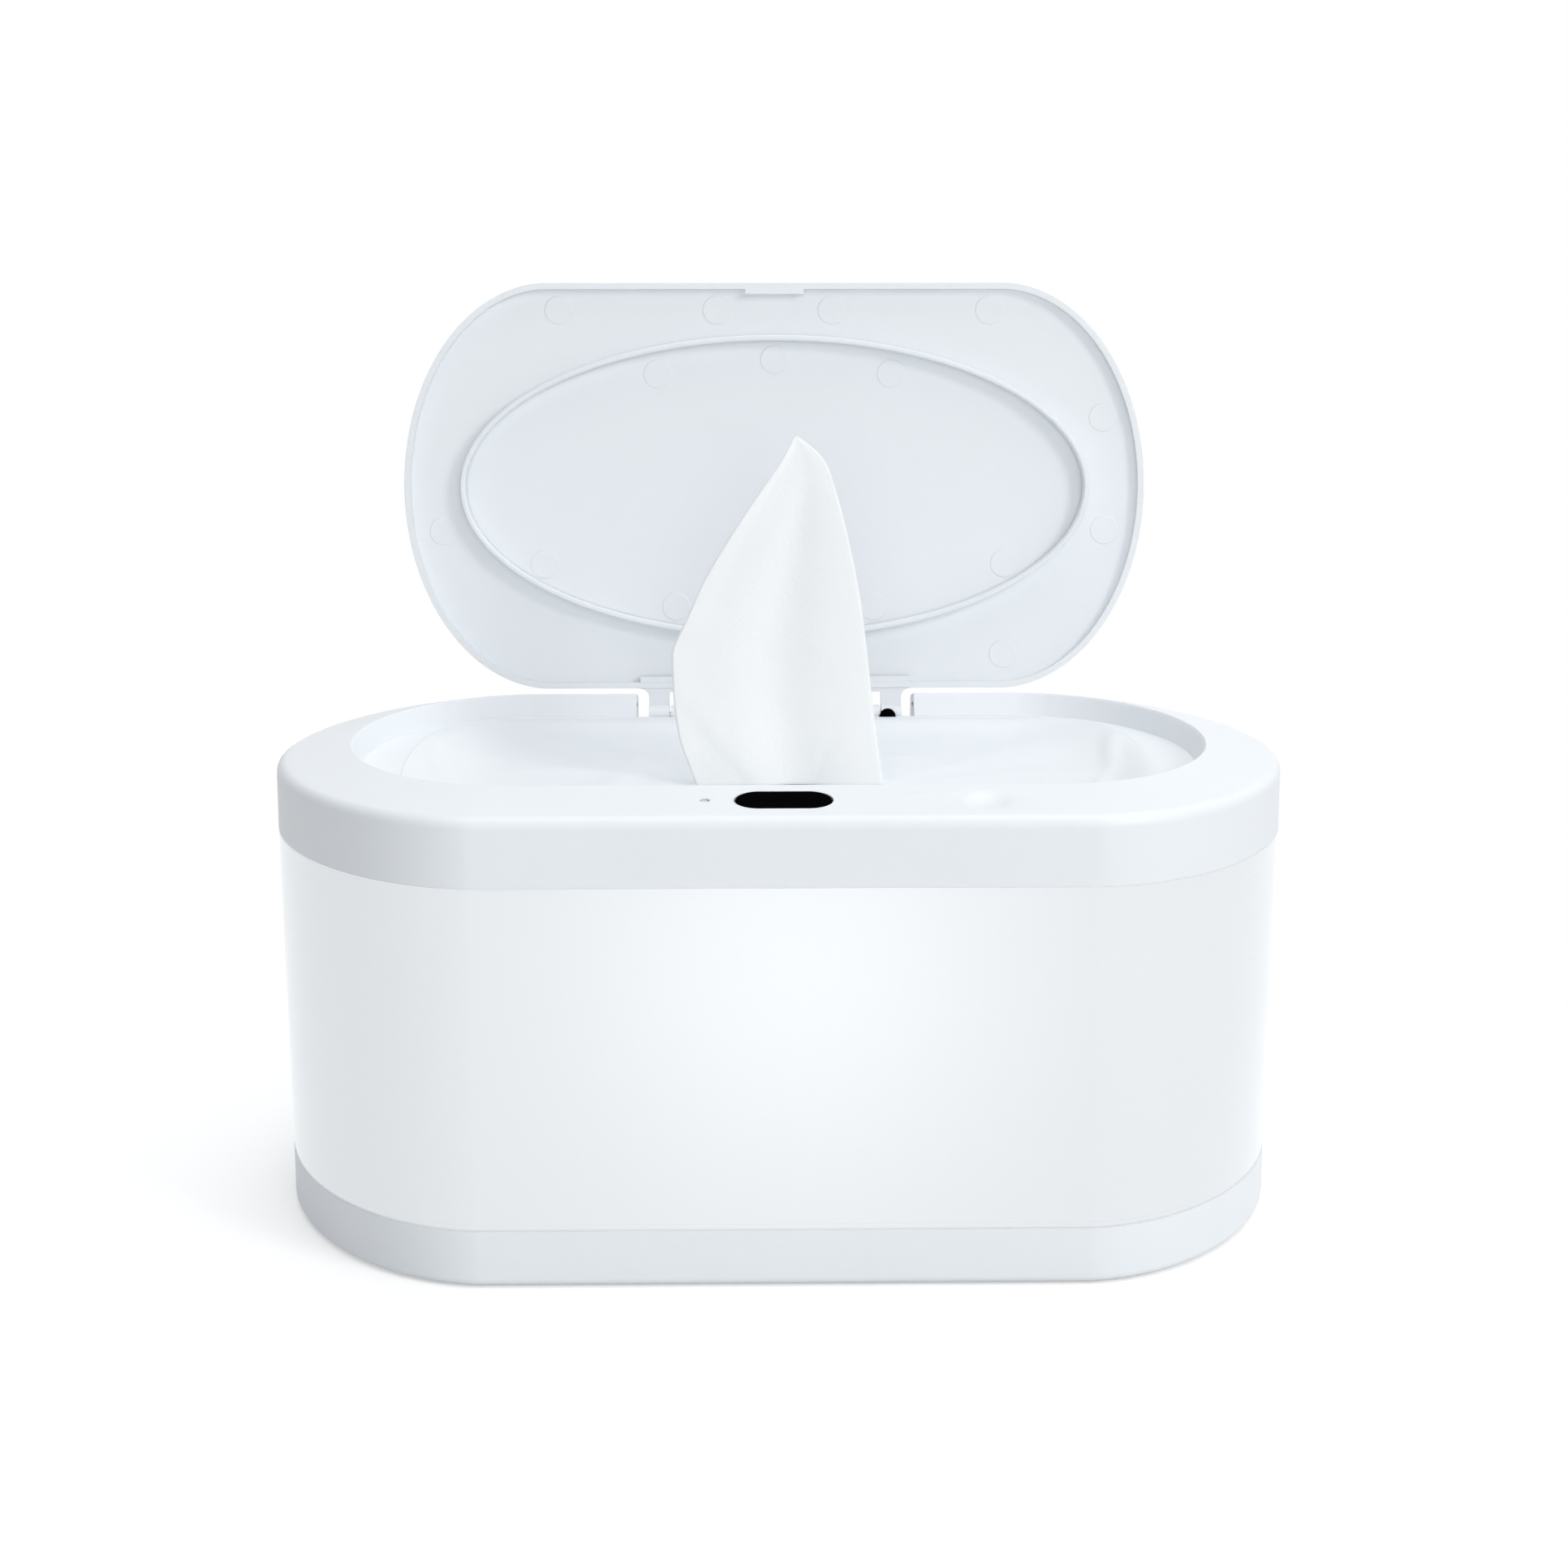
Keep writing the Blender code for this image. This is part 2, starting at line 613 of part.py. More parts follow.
def add_bosses(housing):
    for x, y in corners(BOSS_X, BOSS_Y):
        floor = boss_seat() + GAP
        top = (DECK_EDGE_HEIGHT + RIM_HEIGHT - WALL) / 2
        unite(housing, rod(f"boss {x:.3f} {y:.3f}", (x, y, floor), (x, y, top), BOSS_RADIUS, sides=16))
        cut(housing, rod(f"boss bore {x:.3f} {y:.3f}", (x, y, floor - OVERRUN),
                         (x, y, FOOT_STAND + SCREW_LENGTH + OVERRUN), SCREW_RADIUS + GAP, sides=12))


def stadium(outset, height):
    """Points round the button's plan, grown by outset."""
    radius = BUTTON_DEPTH / 2 + outset
    run = (BUTTON_LENGTH - BUTTON_DEPTH) / 2
    points = []
    for index in range(SMALL_POINTS):
        turn = math.tau * (index + 0.5) / SMALL_POINTS
        side = math.copysign(run, math.cos(turn))
        points.append(Vector((side + radius * math.cos(turn), radius * math.sin(turn), height)))
    return points


def deck_frame(x, y):
    """Stand a local frame on the front deck, with its Z square to the deck."""
    return Matrix.Translation((x, y, deck_height(y))) @ Matrix.Rotation(DECK_SLOPE, 4, "X")


def cut_button_hole(housing):
    hole = loft("button hole", [stadium(GAP, -WALL - OVERRUN), stadium(GAP, OVERRUN)])
    hole.data.transform(deck_frame(0.0, BUTTON_Y))
    cut(housing, hole)


def nose_levels():
    """Low and high face of the catch's nose when it holds the lid."""
    low = LID_LOW + HOOK_BAR + GAP
    return low, low + CATCH_NOSE


def cut_catch_slot(housing):
    low, high = nose_levels()
    half = CATCH_NOSE_WIDTH / 2 + GAP
    cut(housing, box("catch slot", (-half, RECESS_FRONT - WALL - OVERRUN, low - GAP),
                     (half, RECESS_FRONT + OVERRUN, high + GAP)))


def cut_indicator(housing):
    hole = rod("indicator hole", (0, 0, -WALL - OVERRUN), (0, 0, OVERRUN), INDICATOR_RADIUS + GAP, sides=16)
    hole.data.transform(deck_frame(-INDICATOR_PLACE, BUTTON_Y))
    cut(housing, hole)


def cut_dimple(housing):
    shape = bmesh.new()
    bmesh.ops.create_uvsphere(shape, u_segments=32, v_segments=24, radius=DIMPLE_SPHERE)
    ball = from_bmesh("dimple ball", shape)
    rise = math.sqrt(DIMPLE_SPHERE ** 2 - DIMPLE_RADIUS ** 2)
    ball.data.transform(deck_frame(DIMPLE_PLACE, BUTTON_Y) @ Matrix.Translation((0, 0, rise)))
    cut(housing, ball)


# Tub and heater

def tub_top():
    return LEDGE_HEIGHT - WALL - GAP


def tub_inside():
    """(inset from the mouth, height) points up the tub's inner face."""
    floor, radius = TUB_FLOOR_HEIGHT, TUB_FLOOR_RADIUS
    return [(TUB_DRAFT + radius, floor), (WALL + TUB_DRAFT + radius / 4, floor + radius / 4),
            (WALL + TUB_DRAFT, floor + radius - WALL), (WALL, tub_top())]


def make_tub():
    top = tub_top()
    under = TUB_FLOOR_HEIGHT - WALL
    outside = [(TUB_DRAFT + TUB_FLOOR_RADIUS, under),
               (TUB_DRAFT + TUB_FLOOR_RADIUS / 4, under + TUB_FLOOR_RADIUS / 4),
               (TUB_DRAFT, under + TUB_FLOOR_RADIUS), (0.0, top - WALL),
               (-TUB_FLANGE, top - WALL), (-TUB_FLANGE, top)]
    rings = [MOUTH.inset(inset).ring(height) for inset, height in outside + tub_inside()[::-1]]
    return loft("wipe_tub", rings, "tub plastic")


def heater_levels():
    """Low and high face of each layer under the tub."""
    levels = {}
    high = TUB_FLOOR_HEIGHT - WALL - GAP
    for name, thickness in (("plate", HEATER_PLATE), ("film", HEATER_FILM), ("pad", PAD_THICKNESS)):
        levels[name] = (high - thickness, high)
        high -= thickness + GAP
    return levels


def make_heater():
    oval = replace(HEATER, count=SMALL_POINTS)
    looks = {"plate": ("heater_plate", "aluminium"), "film": ("heater_film", "heater film"),
             "pad": ("insulation_pad", "insulation")}
    made = {}
    for index, (layer, (low, high)) in enumerate(heater_levels().items()):
        section = oval.inset(index * GAP)
        made[layer] = loft(looks[layer][0], [section.ring(low), section.ring(high)], looks[layer][1])
    low, high = heater_levels()["pad"]
    x = THERMOSTAT_PLACE
    cut(made["pad"], rod("thermostat hole", (x, 0, low - OVERRUN), (x, 0, high + OVERRUN),
                         THERMOSTAT_RADIUS + 3 * GAP))
    foot = high - THERMOSTAT_HEIGHT
    neck = foot + THERMOSTAT_HEIGHT / 4
    turned("thermostat", [(THERMOSTAT_RADIUS / 2, foot), (THERMOSTAT_RADIUS / 2, neck),
                          (THERMOSTAT_RADIUS, neck), (THERMOSTAT_RADIUS, high)], (x, 0), "steel")
    groove = FUSE_RADIUS + GAP
    start, end = -x - FUSE_LENGTH / 2, -x + FUSE_LENGTH / 2
    fuse_z = high - FUSE_RADIUS
    cut(made["pad"], box("fuse groove", (start - GAP, -groove, fuse_z - groove),
                         (end + GAP, groove, high + OVERRUN)))
    rod("thermal_fuse", (start, 0, fuse_z), (end, 0, fuse_z), FUSE_RADIUS, "steel", sides=16)


# Boards, lamps and socket

def make_control_board():
    low = FOOT_STAND + BASE_FLOOR + CONTROL_STAND + GAP
    high = low + BOARD
    board = box("control_board", (-CONTROL_WIDTH / 2, -CONTROL_DEPTH / 2, low),
                (CONTROL_WIDTH / 2, CONTROL_DEPTH / 2, high), "circuit board")
    chip_shares = ((-0.30, 0.20, 0.24, 0.30, 1.0), (0.05, -0.15, 0.16, 0.26, 0.6),
                   (0.32, 0.20, 0.18, 0.36, 0.9), (-0.25, -0.28, 0.30, 0.16, 0.7))
    for index, (x, y, width, depth, height) in enumerate(chip_shares):
        centre = (x * CONTROL_WIDTH, y * CONTROL_DEPTH)
        half = (width * CONTROL_WIDTH / 2, depth * CONTROL_DEPTH / 2)
        unite(board, box(f"chip {index}", (centre[0] - half[0], centre[1] - half[1], high - BITE),
                         (centre[0] + half[0], centre[1] + half[1], high + height * CHIP_HEIGHT)))


def led_board_face():
    """Front face of the night-light board."""
    return -BODY.half_y + WALL + GAP + LIP_WALL + LED_BOARD_SETBACK


def make_night_light(housing):
    face = led_board_face()
    top = LED_BOARD_TOP
    box("night_light_board", (-LED_BOARD_WIDTH / 2, face, top - LED_BOARD_HEIGHT),
        (LED_BOARD_WIDTH / 2, face + BOARD, top), "circuit board")
    for index in range(3):
        x = (index - 1) * LED_SPACING
        z = top - LED_BOARD_HEIGHT / 2
        lamp = box(f"night_light_led_{index + 1}",
                   (x - LED_SIZE / 2, face - GAP - LED_HEIGHT, z - LED_SIZE / 2),
                   (x + LED_SIZE / 2, face - GAP, z + LED_SIZE / 2), "lamp")
        bevel = lamp.modifiers.new("soft edge", "BEVEL")
        bevel.width = LED_HEIGHT / 4
        bevel.segments = 2
    for side in (-1, 1):
        outer = side * (LED_BOARD_WIDTH / 2 + LED_ARM)
        inner = outer - side * 2 * LED_ARM
        slot = outer - side * (LED_ARM - GAP)
        unite(housing, box(f"light board arm {side}",
                           (min(outer, inner), face - LED_ARM, top - LED_BOARD_HEIGHT),
                           (max(outer, inner), face + BOARD + LED_ARM, deck_height(face) - WALL + BITE)))
        beyond = inner - side * LED_ARM
        cut(housing, box(f"light board slot {side}",
                         (min(slot, beyond), face - GAP, top - LED_BOARD_HEIGHT - OVERRUN),
                         (max(slot, beyond), face + BOARD + GAP, top + GAP)))


def make_socket():
    half = SOCKET_WIDTH / 2
    back = BASE_TOP_OVAL.half_y - WALL - GAP
    front = back - SOCKET_LENGTH
    body = box("power_socket", (-half, front, SOCKET_LIFT - SOCKET_HEIGHT / 2),
               (half, back, SOCKET_LIFT + SOCKET_HEIGHT / 2), "black plastic")
    cut(body, rod("socket bore", (0, front + WALL, SOCKET_LIFT), (0, back + OVERRUN, SOCKET_LIFT),
                  SOCKET_BORE, sides=20))
    unite(body, rod("socket pin", (0, front + WALL - BITE, SOCKET_LIFT), (0, back - WALL / 2, SOCKET_LIFT),
                    SOCKET_PIN, sides=12))


def make_indicator_and_touch():
    length = INDICATOR_LENGTH
    under = -WALL - GAP
    profile = [(INDICATOR_RADIUS, -length), (INDICATOR_RADIUS, under - INDICATOR_RADIUS)]
    profile += [(INDICATOR_FLANGE, under - INDICATOR_RADIUS), (INDICATOR_FLANGE, under)]
    profile += [(INDICATOR_RADIUS, under), (INDICATOR_RADIUS, -GAP)]
    pipe = turned("indicator_light_pipe", profile, (0.0, 0.0), "clear plastic", sides=16)
    pipe.data.transform(deck_frame(-INDICATOR_PLACE, BUTTON_Y))
    sag = DIMPLE_SPHERE - math.sqrt(DIMPLE_SPHERE ** 2 - DIMPLE_RADIUS ** 2)
    low = under - TOUCH_PAD_HEIGHT
    profile = [(TOUCH_PAD_RADIUS - sag, low), (TOUCH_PAD_RADIUS, low + sag / 2), (TOUCH_PAD_RADIUS, under)]
    pad = turned("touch_pad", profile, (0.0, 0.0), "black rubber")
    pad.data.transform(deck_frame(DIMPLE_PLACE, BUTTON_Y))


# Button and catch

def post_drop():
    """Depth of the front edge of the button's posts below the deck's top face."""
    return WALL + GAP + BUTTON_FLANGE + POST_DROP


def ramp_line():
    """Front top end of the catch's ramp, in (y, z), under the button's posts."""
    y = BUTTON_Y + post_drop() * math.sin(DECK_SLOPE) - POST_DEPTH / 2
    z = deck_height(BUTTON_Y) - post_drop() * math.cos(DECK_SLOPE) - 2 * GAP
    return y, z


def tray_height():
    """Underside of the tray, where the posts, pressed home, just clear the catch's plate."""
    post_end = deck_height(BUTTON_Y) - (post_drop() + POST_DEPTH) * math.cos(DECK_SLOPE)
    return post_end - BUTTON_TRAVEL - CATCH_PLATE - TRAY_WALL - 3 * GAP


def make_button():
    under = -WALL - GAP
    flange = BUTTON_FLANGE
    rings = [stadium(0.0, under - flange), stadium(0.0, BUTTON_STAND - BUTTON_EDGE),
             stadium(-BUTTON_EDGE / 3, BUTTON_STAND - BUTTON_EDGE / 3), stadium(-BUTTON_EDGE, BUTTON_STAND)]
    button = loft("release_button", rings, "black plastic")
    half = BUTTON_LENGTH / 2
    tab = BUTTON_DEPTH / 4
    posts = []
    for side in (-1, 1):
        outer, inner = side * (half + flange), side * (half - tab)
        posts.append(box(f"button tab {side}", (min(outer, inner), -tab, under - flange),
                         (max(outer, inner), tab, under)))
    low = under - flange - POST_DROP
    for side in (-1, 1):
        x = side * POST_PLACE
        outline = [(-POST_DEPTH / 2, under - flange + BITE), (POST_DEPTH / 2, under - flange + BITE),
                   (POST_DEPTH / 2, low - POST_DEPTH), (-POST_DEPTH / 2, low)]
        posts.append(prism(f"button post {side}", outline, x - POST_WIDTH / 2, x + POST_WIDTH / 2))
    unite(button, *posts)
    axis = empty("button_slide", (0.0, BUTTON_Y, deck_height(BUTTON_Y)), DECK_SLOPE)
    carry(axis, (0.0, 0.0, 0.0), button, *posts)


def catch_plan():
    """Named places of the catch slide, all from the tray, the ramp and the recess."""
    plate_low = tray_height() + TRAY_WALL + GAP
    arm_back = RECESS_FRONT - WALL - GAP
    front = BUTTON_Y - POST_DEPTH - CATCH_PLATE
    return plate_low, plate_low + CATCH_PLATE, front, arm_back


def make_catch():
    low, high, front, back = catch_plan()
    half = CATCH_WIDTH / 2
    nose_low, nose_high = nose_levels()
    slide = box("catch_slide", (-half, front, low), (half, back, high), "white plastic")
    arm = half - CATCH_ARM_WIDTH
    tools = [box(f"catch arm {side}", (min(side * arm, side * half), back - CATCH_ARM, high - BITE),
                 (max(side * arm, side * half), back, nose_high)) for side in (-1, 1)]
    tools.append(box("catch bridge", (-arm - BITE, back - CATCH_ARM, nose_low),
                     (arm + BITE, back, nose_high)))
    tip = LID_FRONT + CATCH_REACH
    outline = [(back - BITE, nose_low), (tip, nose_low), (tip, nose_low + CATCH_NOSE / 4),
               (tip - CATCH_NOSE, nose_high), (back - BITE, nose_high)]
    tools.append(prism("catch nose", outline, -CATCH_NOSE_WIDTH / 2, CATCH_NOSE_WIDTH / 2))
    ramp_y, ramp_z = ramp_line()
    rise = ramp_z - high
    for side in (-1, 1):
        x = side * POST_PLACE
        ramp = [(ramp_y - CATCH_PLATE, high - BITE), (ramp_y + rise + BITE, high - BITE),
                (ramp_y, ramp_z), (ramp_y - CATCH_PLATE, ramp_z)]
        tools.append(prism(f"catch ramp {side}", ramp, x - POST_WIDTH / 2 - GAP, x + POST_WIDTH / 2 + GAP))
    stop = 2 * CATCH_SPRING_RADIUS
    tools.append(box("spring stop", (-stop, front, high - BITE), (stop, front + CATCH_PLATE, high + stop)))
    unite(slide, *tools)
    axis = empty("catch_slide_axis", (0.0, front, low))
    carry(axis, (0.0, front, low), slide, *tools)
    make_catch_spring(front, low)
    make_tray()


def make_catch_spring(front, low):
    wall = -BODY.half_y + WALL
    length = front - wall - 2 * GAP - 2 * CATCH_SPRING_WIRE
    start = (0.0, wall + GAP + CATCH_SPRING_WIRE, low + CATCH_SPRING_RADIUS + CATCH_SPRING_WIRE)
    points = coil(start, (0, 1, 0), CATCH_SPRING_RADIUS, CATCH_SPRING_TURNS, length)
    wire("catch_spring", points, CATCH_SPRING_WIRE, "steel")
    gap = least_turn_gap(length, CATCH_SPRING_TURNS, CATCH_SPRING_WIRE)
    print("catch spring least gap mm", round(1000 * gap, 2))


def make_tray():
    front = -BODY.half_y + WALL + GAP
    back = RECESS_FRONT - WALL - GAP
    half = TRAY_WIDTH / 2
    low = tray_height()
    tray = box("catch_tray", (-half, front, low), (half, back, low + TRAY_WALL), "white plastic")
    wall_front = front + DECK_EDGE_RADIUS
    top = deck_height(wall_front - GAP) - WALL - 2 * GAP
    root = low + TRAY_WALL - BITE
    outline = [(wall_front, root), (back, root), (back, top), (wall_front, top)]
    for side in (-1, 1):
        outer = side * half
        inner = side * (half - TRAY_WALL)
        unite(tray, prism(f"tray wall {side}", outline, min(outer, inner), max(outer, inner)))


# Lid

def make_lid():
    rings = [LID.inset(2 * LID_LIP).ring(LID_UNDER), LID.inset(LID_LIP).ring(LID_UNDER)]
    rings += [LID.inset(LID_LIP).ring(LID_LOW), LID.ring(LID_LOW)]
    centre = LID_TOP - LID_EDGE_RADIUS
    edge = fillet(LID_EDGE_RADIUS, centre, LID_EDGE_RADIUS, 0, 90)
    rings += [LID.inset(inset).ring(height) for inset, height in edge]
    crown_shares = ((0.85, 0.55), (0.65, 0.85), (0.40, 1.0))
    for share, rise in crown_shares:
        rings.append(LID.shrunk(share).ring(LID_TOP + rise * LID_CROWN))
    lid = loft("lid", rings, "white plastic")
    tools = [hinge_tongue(), hinge_barrel()]
    unite(lid, *tools)
    cutters = hinge_cutters() + [lid_window()]
    cut(lid, *cutters)
    bar = hook_bar()
    unite(lid, bar)
    axis = empty("lid_hinge", HINGE, -math.radians(LID_OPEN_DEG))
    carry(axis, HINGE, lid, bar, *tools, *cutters, make_seal(), make_stud())


def hinge_tongue():
    """The plate from the lid's back edge to the barrel, flared where it leaves the lid."""
    half = TONGUE_WIDTH / 2
    right = [(half, HINGE.y)]
    for index in range(ARC_STEPS + 1):
        turn = math.pi / 2 * index / ARC_STEPS
        right.append((half + TONGUE_FILLET * (1 - math.cos(turn)),
                      LID_BACK + TONGUE_FILLET * (1 - math.sin(turn))))
    right.append((half + TONGUE_FILLET, LID_BACK - 2 * LID_LIP))
    points = right + [(-x, y) for x, y in right[::-1]]
    top = HINGE.z + BARREL_RADIUS
    rings = [[Vector((x, y, height)) for x, y in points] for height in (top - LID_PLATE, top)]
    return loft("hinge tongue", rings)


def hinge_barrel():
    half = TONGUE_WIDTH / 2
    return rod("hinge barrel", (-half, HINGE.y, HINGE.z), (half, HINGE.y, HINGE.z), BARREL_RADIUS)


def hinge_cutters():
    bore = TONGUE_WIDTH / 2 - WALL
    made = [rod("barrel bore", (-bore, HINGE.y, HINGE.z), (bore, HINGE.y, HINGE.z),
                PIN_RADIUS + GAP, sides=16)]
    reach = BARREL_RADIUS + GAP
    for side in (-1, 1):
        x = side * EAR_PLACE
        half = EAR_WIDTH / 2 + EAR_SIDE
        made.append(box(f"ear slot {side}", (x - half, HINGE.y - 2 * reach, HINGE.z - 2 * reach),
                        (x + half, HINGE.y + 2 * reach, HINGE.z + 2 * reach)))
    made.append(box("spring bay", (-SPRING_BAY / 2, HINGE.y - reach - GAP, HINGE.z - 2 * reach),
                    (SPRING_BAY / 2, HINGE.y + 2 * reach, HINGE.z + 2 * reach)))
    return made


def lid_window():
    low = LID_LOW + HOOK_BAR
    inner = LID_FRONT + LID_LIP + HOOK_REACH
    return box("catch window", (-WINDOW_WIDTH / 2, LID_FRONT - OVERRUN, low),
               (WINDOW_WIDTH / 2, inner, low + WINDOW_HEIGHT))


def hook_bar():
    half = HOOK_WIDTH / 2
    return box("hook bar", (-half, LID_FRONT + LID_LIP - BITE, LID_LOW),
               (half, LID_FRONT + LID_LIP + HOOK_REACH, LID_LOW + HOOK_BAR))


def make_seal():
    half = MOUTH.half_x - SEAL_END
    outer = Oval(half, MOUTH.half_y - SEAL_SIDE, half, LID.centre_y, 2.0)
    top = LID_UNDER - GAP
    low = top - SEAL_HEIGHT
    edge = SEAL_WALL / 4
    profile = [(0.0, top), (0.0, low + edge), (edge, low)]
    profile += [(SEAL_WALL - edge, low), (SEAL_WALL, low + edge), (SEAL_WALL, top)]
    rings = [outer.inset(inset).ring(height) for inset, height in profile]
    return loft("lid_seal", rings, "white plastic", closed=True)


def make_stud():
    """A black stud on the barrel that faces the front when the lid is open."""
    face = HINGE.z - BARREL_RADIUS - GAP
    centre = (STUD_PLACE, HINGE.y)
    profile = [(STUD_RADIUS / 3, face - STUD_STAND), (STUD_RADIUS * 2 / 3, face - STUD_STAND * 2 / 3)]
    profile += [(STUD_RADIUS, face - STUD_STAND / 4), (STUD_RADIUS, face)]
    return turned("lid_stud", profile, centre, "black plastic", sides=20)


def make_hinge_pin_and_spring():
    half = TONGUE_WIDTH / 2 - WALL - GAP
    rod("hinge_pin", (-half, HINGE.y, HINGE.z), (half, HINGE.y, HINGE.z), PIN_RADIUS, "steel", sides=16)
    length = SPRING_BAY - 2 * GAP - 4 * SPRING_WIRE
    start = (-length / 2, HINGE.y, HINGE.z)
    points = coil(start, (1, 0, 0), SPRING_RADIUS, SPRING_TURNS, length)
    wire("hinge_spring", points, SPRING_WIRE, "steel")
    print("hinge spring least gap mm", round(1000 * least_turn_gap(length, SPRING_TURNS, SPRING_WIRE), 2))


# Wipes

def pack_middle():
    """Height of the film in the middle of the pack."""
    return LEDGE_HEIGHT - PACK_SAG


def make_wipes_pack():
    """The stack in its film, which fills the tub and sags from its mouth."""
    sides = [(inset + PACK_SLACK, height + GAP) for inset, height in tub_inside()]
    edge = LEDGE_HEIGHT - PACK_EDGE_DROP
    sides += [(PACK_SLACK, tub_top() + GAP), (PACK_SLACK, edge)]
    rings = [MOUTH.inset(inset).ring(height) for inset, height in sides]
    film_shares = ((0.95, 0.32, 0.0), (0.91, 0.50, 1.0), (0.80, 0.72, 1.0), (0.60, 0.90, 0.6),
                   (0.38, 1.0, 0.0))
    for size, fall, wave in film_shares:
        ring = MOUTH.shrunk(size).ring(edge - fall * (edge - pack_middle()))
        for index, point in enumerate(ring):
            point.z -= wave * PACK_CREASE * (1 + math.sin(index * math.tau * PACK_WAVES / len(ring)))
        rings.append(ring)
    return loft("wipes_pack", rings, "film")


def wipe_half_widths(share):
    """Left and right edge of the wipe, as shares of its width, up its height share."""
    left_shares = ((0.0, 0.47), (0.12, 0.54), (0.30, 0.60), (0.45, 0.50), (0.62, 0.36), (0.80, 0.15),
                   (0.92, -0.04), (1.0, -0.14))
    right_shares = ((0.0, 0.50), (0.20, 0.46), (0.40, 0.42), (0.60, 0.36), (0.80, 0.30), (0.90, 0.27),
                    (0.96, 0.22), (1.0, 0.18))
    return read_shares(left_shares, share), read_shares(right_shares, share)


def read_shares(table, share):
    for (low, first), (high, second) in zip(table, table[1:]):
        if share <= high:
            return first + (second - first) * (share - low) / (high - low)
    return table[-1][1]


def make_pulled_wipe():
    foot = pack_middle() + GAP
    columns = rows = WIPE_STEPS
    rings = []
    for row in range(rows + 1):
        share = row / rows
        left, right = wipe_half_widths(share)
        front = []
        back = []
        for column in range(columns + 1):
            across = column / columns
            x = WIPE_WIDTH * (-left + (left + right) * across)
            fold = WIPE_FOLD * math.sin(math.tau * WIPE_FOLDS * across) * (1 - 0.75 * share)
            y = fold - WIPE_FORWARD - WIPE_FOLD * share
            z = foot + WIPE_HEIGHT * share
            front.append(Vector((x, y - WIPE_CLOTH / 2, z)))
            back.append(Vector((x, y + WIPE_CLOTH / 2, z)))
        rings.append(front + back[::-1])
    return loft("pulled_wipe", rings, "cloth")


def build():
    make_base()
    make_feet_and_screws()
    make_lamp_shell()
    housing = make_housing()
    make_tub()
    make_heater()
    make_control_board()
    make_night_light(housing)
    make_socket()
    make_indicator_and_touch()
    make_button()
    make_catch()
    make_lid()
    make_hinge_pin_and_spring()
    make_wipes_pack()
    make_pulled_wipe()


build()
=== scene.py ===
"""Looks of the baby wipe warmer: its moulded shells, lamp shell with a painted glow, lid, film pack and
pulled wipe.
"""
import json
import logging
import math
from collections.abc import Sequence
from dataclasses import dataclass
from enum import Enum

import bmesh
import bpy
from mathutils import Matrix, Vector
from mathutils.noise import noise


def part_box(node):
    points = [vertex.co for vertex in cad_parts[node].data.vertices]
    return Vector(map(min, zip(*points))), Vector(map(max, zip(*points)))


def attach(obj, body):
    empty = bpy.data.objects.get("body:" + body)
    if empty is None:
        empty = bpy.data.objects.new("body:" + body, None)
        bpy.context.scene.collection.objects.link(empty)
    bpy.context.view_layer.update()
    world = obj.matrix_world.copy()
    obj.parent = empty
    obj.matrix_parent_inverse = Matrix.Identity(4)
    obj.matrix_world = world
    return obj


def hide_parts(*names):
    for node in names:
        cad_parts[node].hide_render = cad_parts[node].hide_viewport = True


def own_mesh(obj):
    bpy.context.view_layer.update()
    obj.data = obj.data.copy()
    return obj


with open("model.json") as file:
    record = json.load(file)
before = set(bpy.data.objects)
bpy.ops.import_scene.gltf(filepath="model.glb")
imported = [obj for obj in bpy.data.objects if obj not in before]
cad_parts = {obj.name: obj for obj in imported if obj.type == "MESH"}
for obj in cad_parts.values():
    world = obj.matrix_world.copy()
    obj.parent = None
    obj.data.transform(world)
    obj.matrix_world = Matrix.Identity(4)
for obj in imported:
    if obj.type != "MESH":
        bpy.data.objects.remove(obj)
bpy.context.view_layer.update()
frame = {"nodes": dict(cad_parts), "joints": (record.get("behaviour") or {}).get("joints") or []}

log = logging.getLogger("wipe_warmer")

MM = 0.001
WHITE = (1.0, 1.0, 1.0)
DARK = (0.0, 0.0, 0.0)
Colour = tuple[float, float, float]
Point = tuple[float, float]
Shape = bpy.types.Object

# How the textures are drawn, as shares of a finish's grain and of its height.
DRAWN_BANDS = 0.3
DRAWN_WAVER = 1.5
FELT_SHARE = 0.6
TRACE_EDGES = (0.02, 0.06)
CRINKLE_SPAN = 6
CRINKLE_SHARE = 0.8

# How closely points are taken for one, and a wall for level or upright.
CAD_WELD = 0.001 * MM
GRID_WELD = 0.0001 * MM
LEVEL = 0.98
SAME_RING = 0.02 * MM
WALL_OUTSIDE = 2.6 * MM
LONG_FACET = 1.2 * MM
END_START = 0.5 * MM
JOIN_ANGLE = math.radians(8)
JOIN_SHAPE = math.radians(60)
SEARCH_OUTSIDE = 10 * MM
SEARCH_END = 0.1 * MM
SEARCH_STEPS = 30


class Body(Enum):
    """The bodies that the new pieces ride on."""
    WARMER = "warmer"
    LID = "lid"
    BUTTON = "button"


class Pattern(Enum):
    """How a finish varies over its surface."""
    MOULDED = "moulded"
    DRAWN = "drawn"
    FELTED = "felted"
    TRACED = "traced"
    CRINKLED = "crinkled"


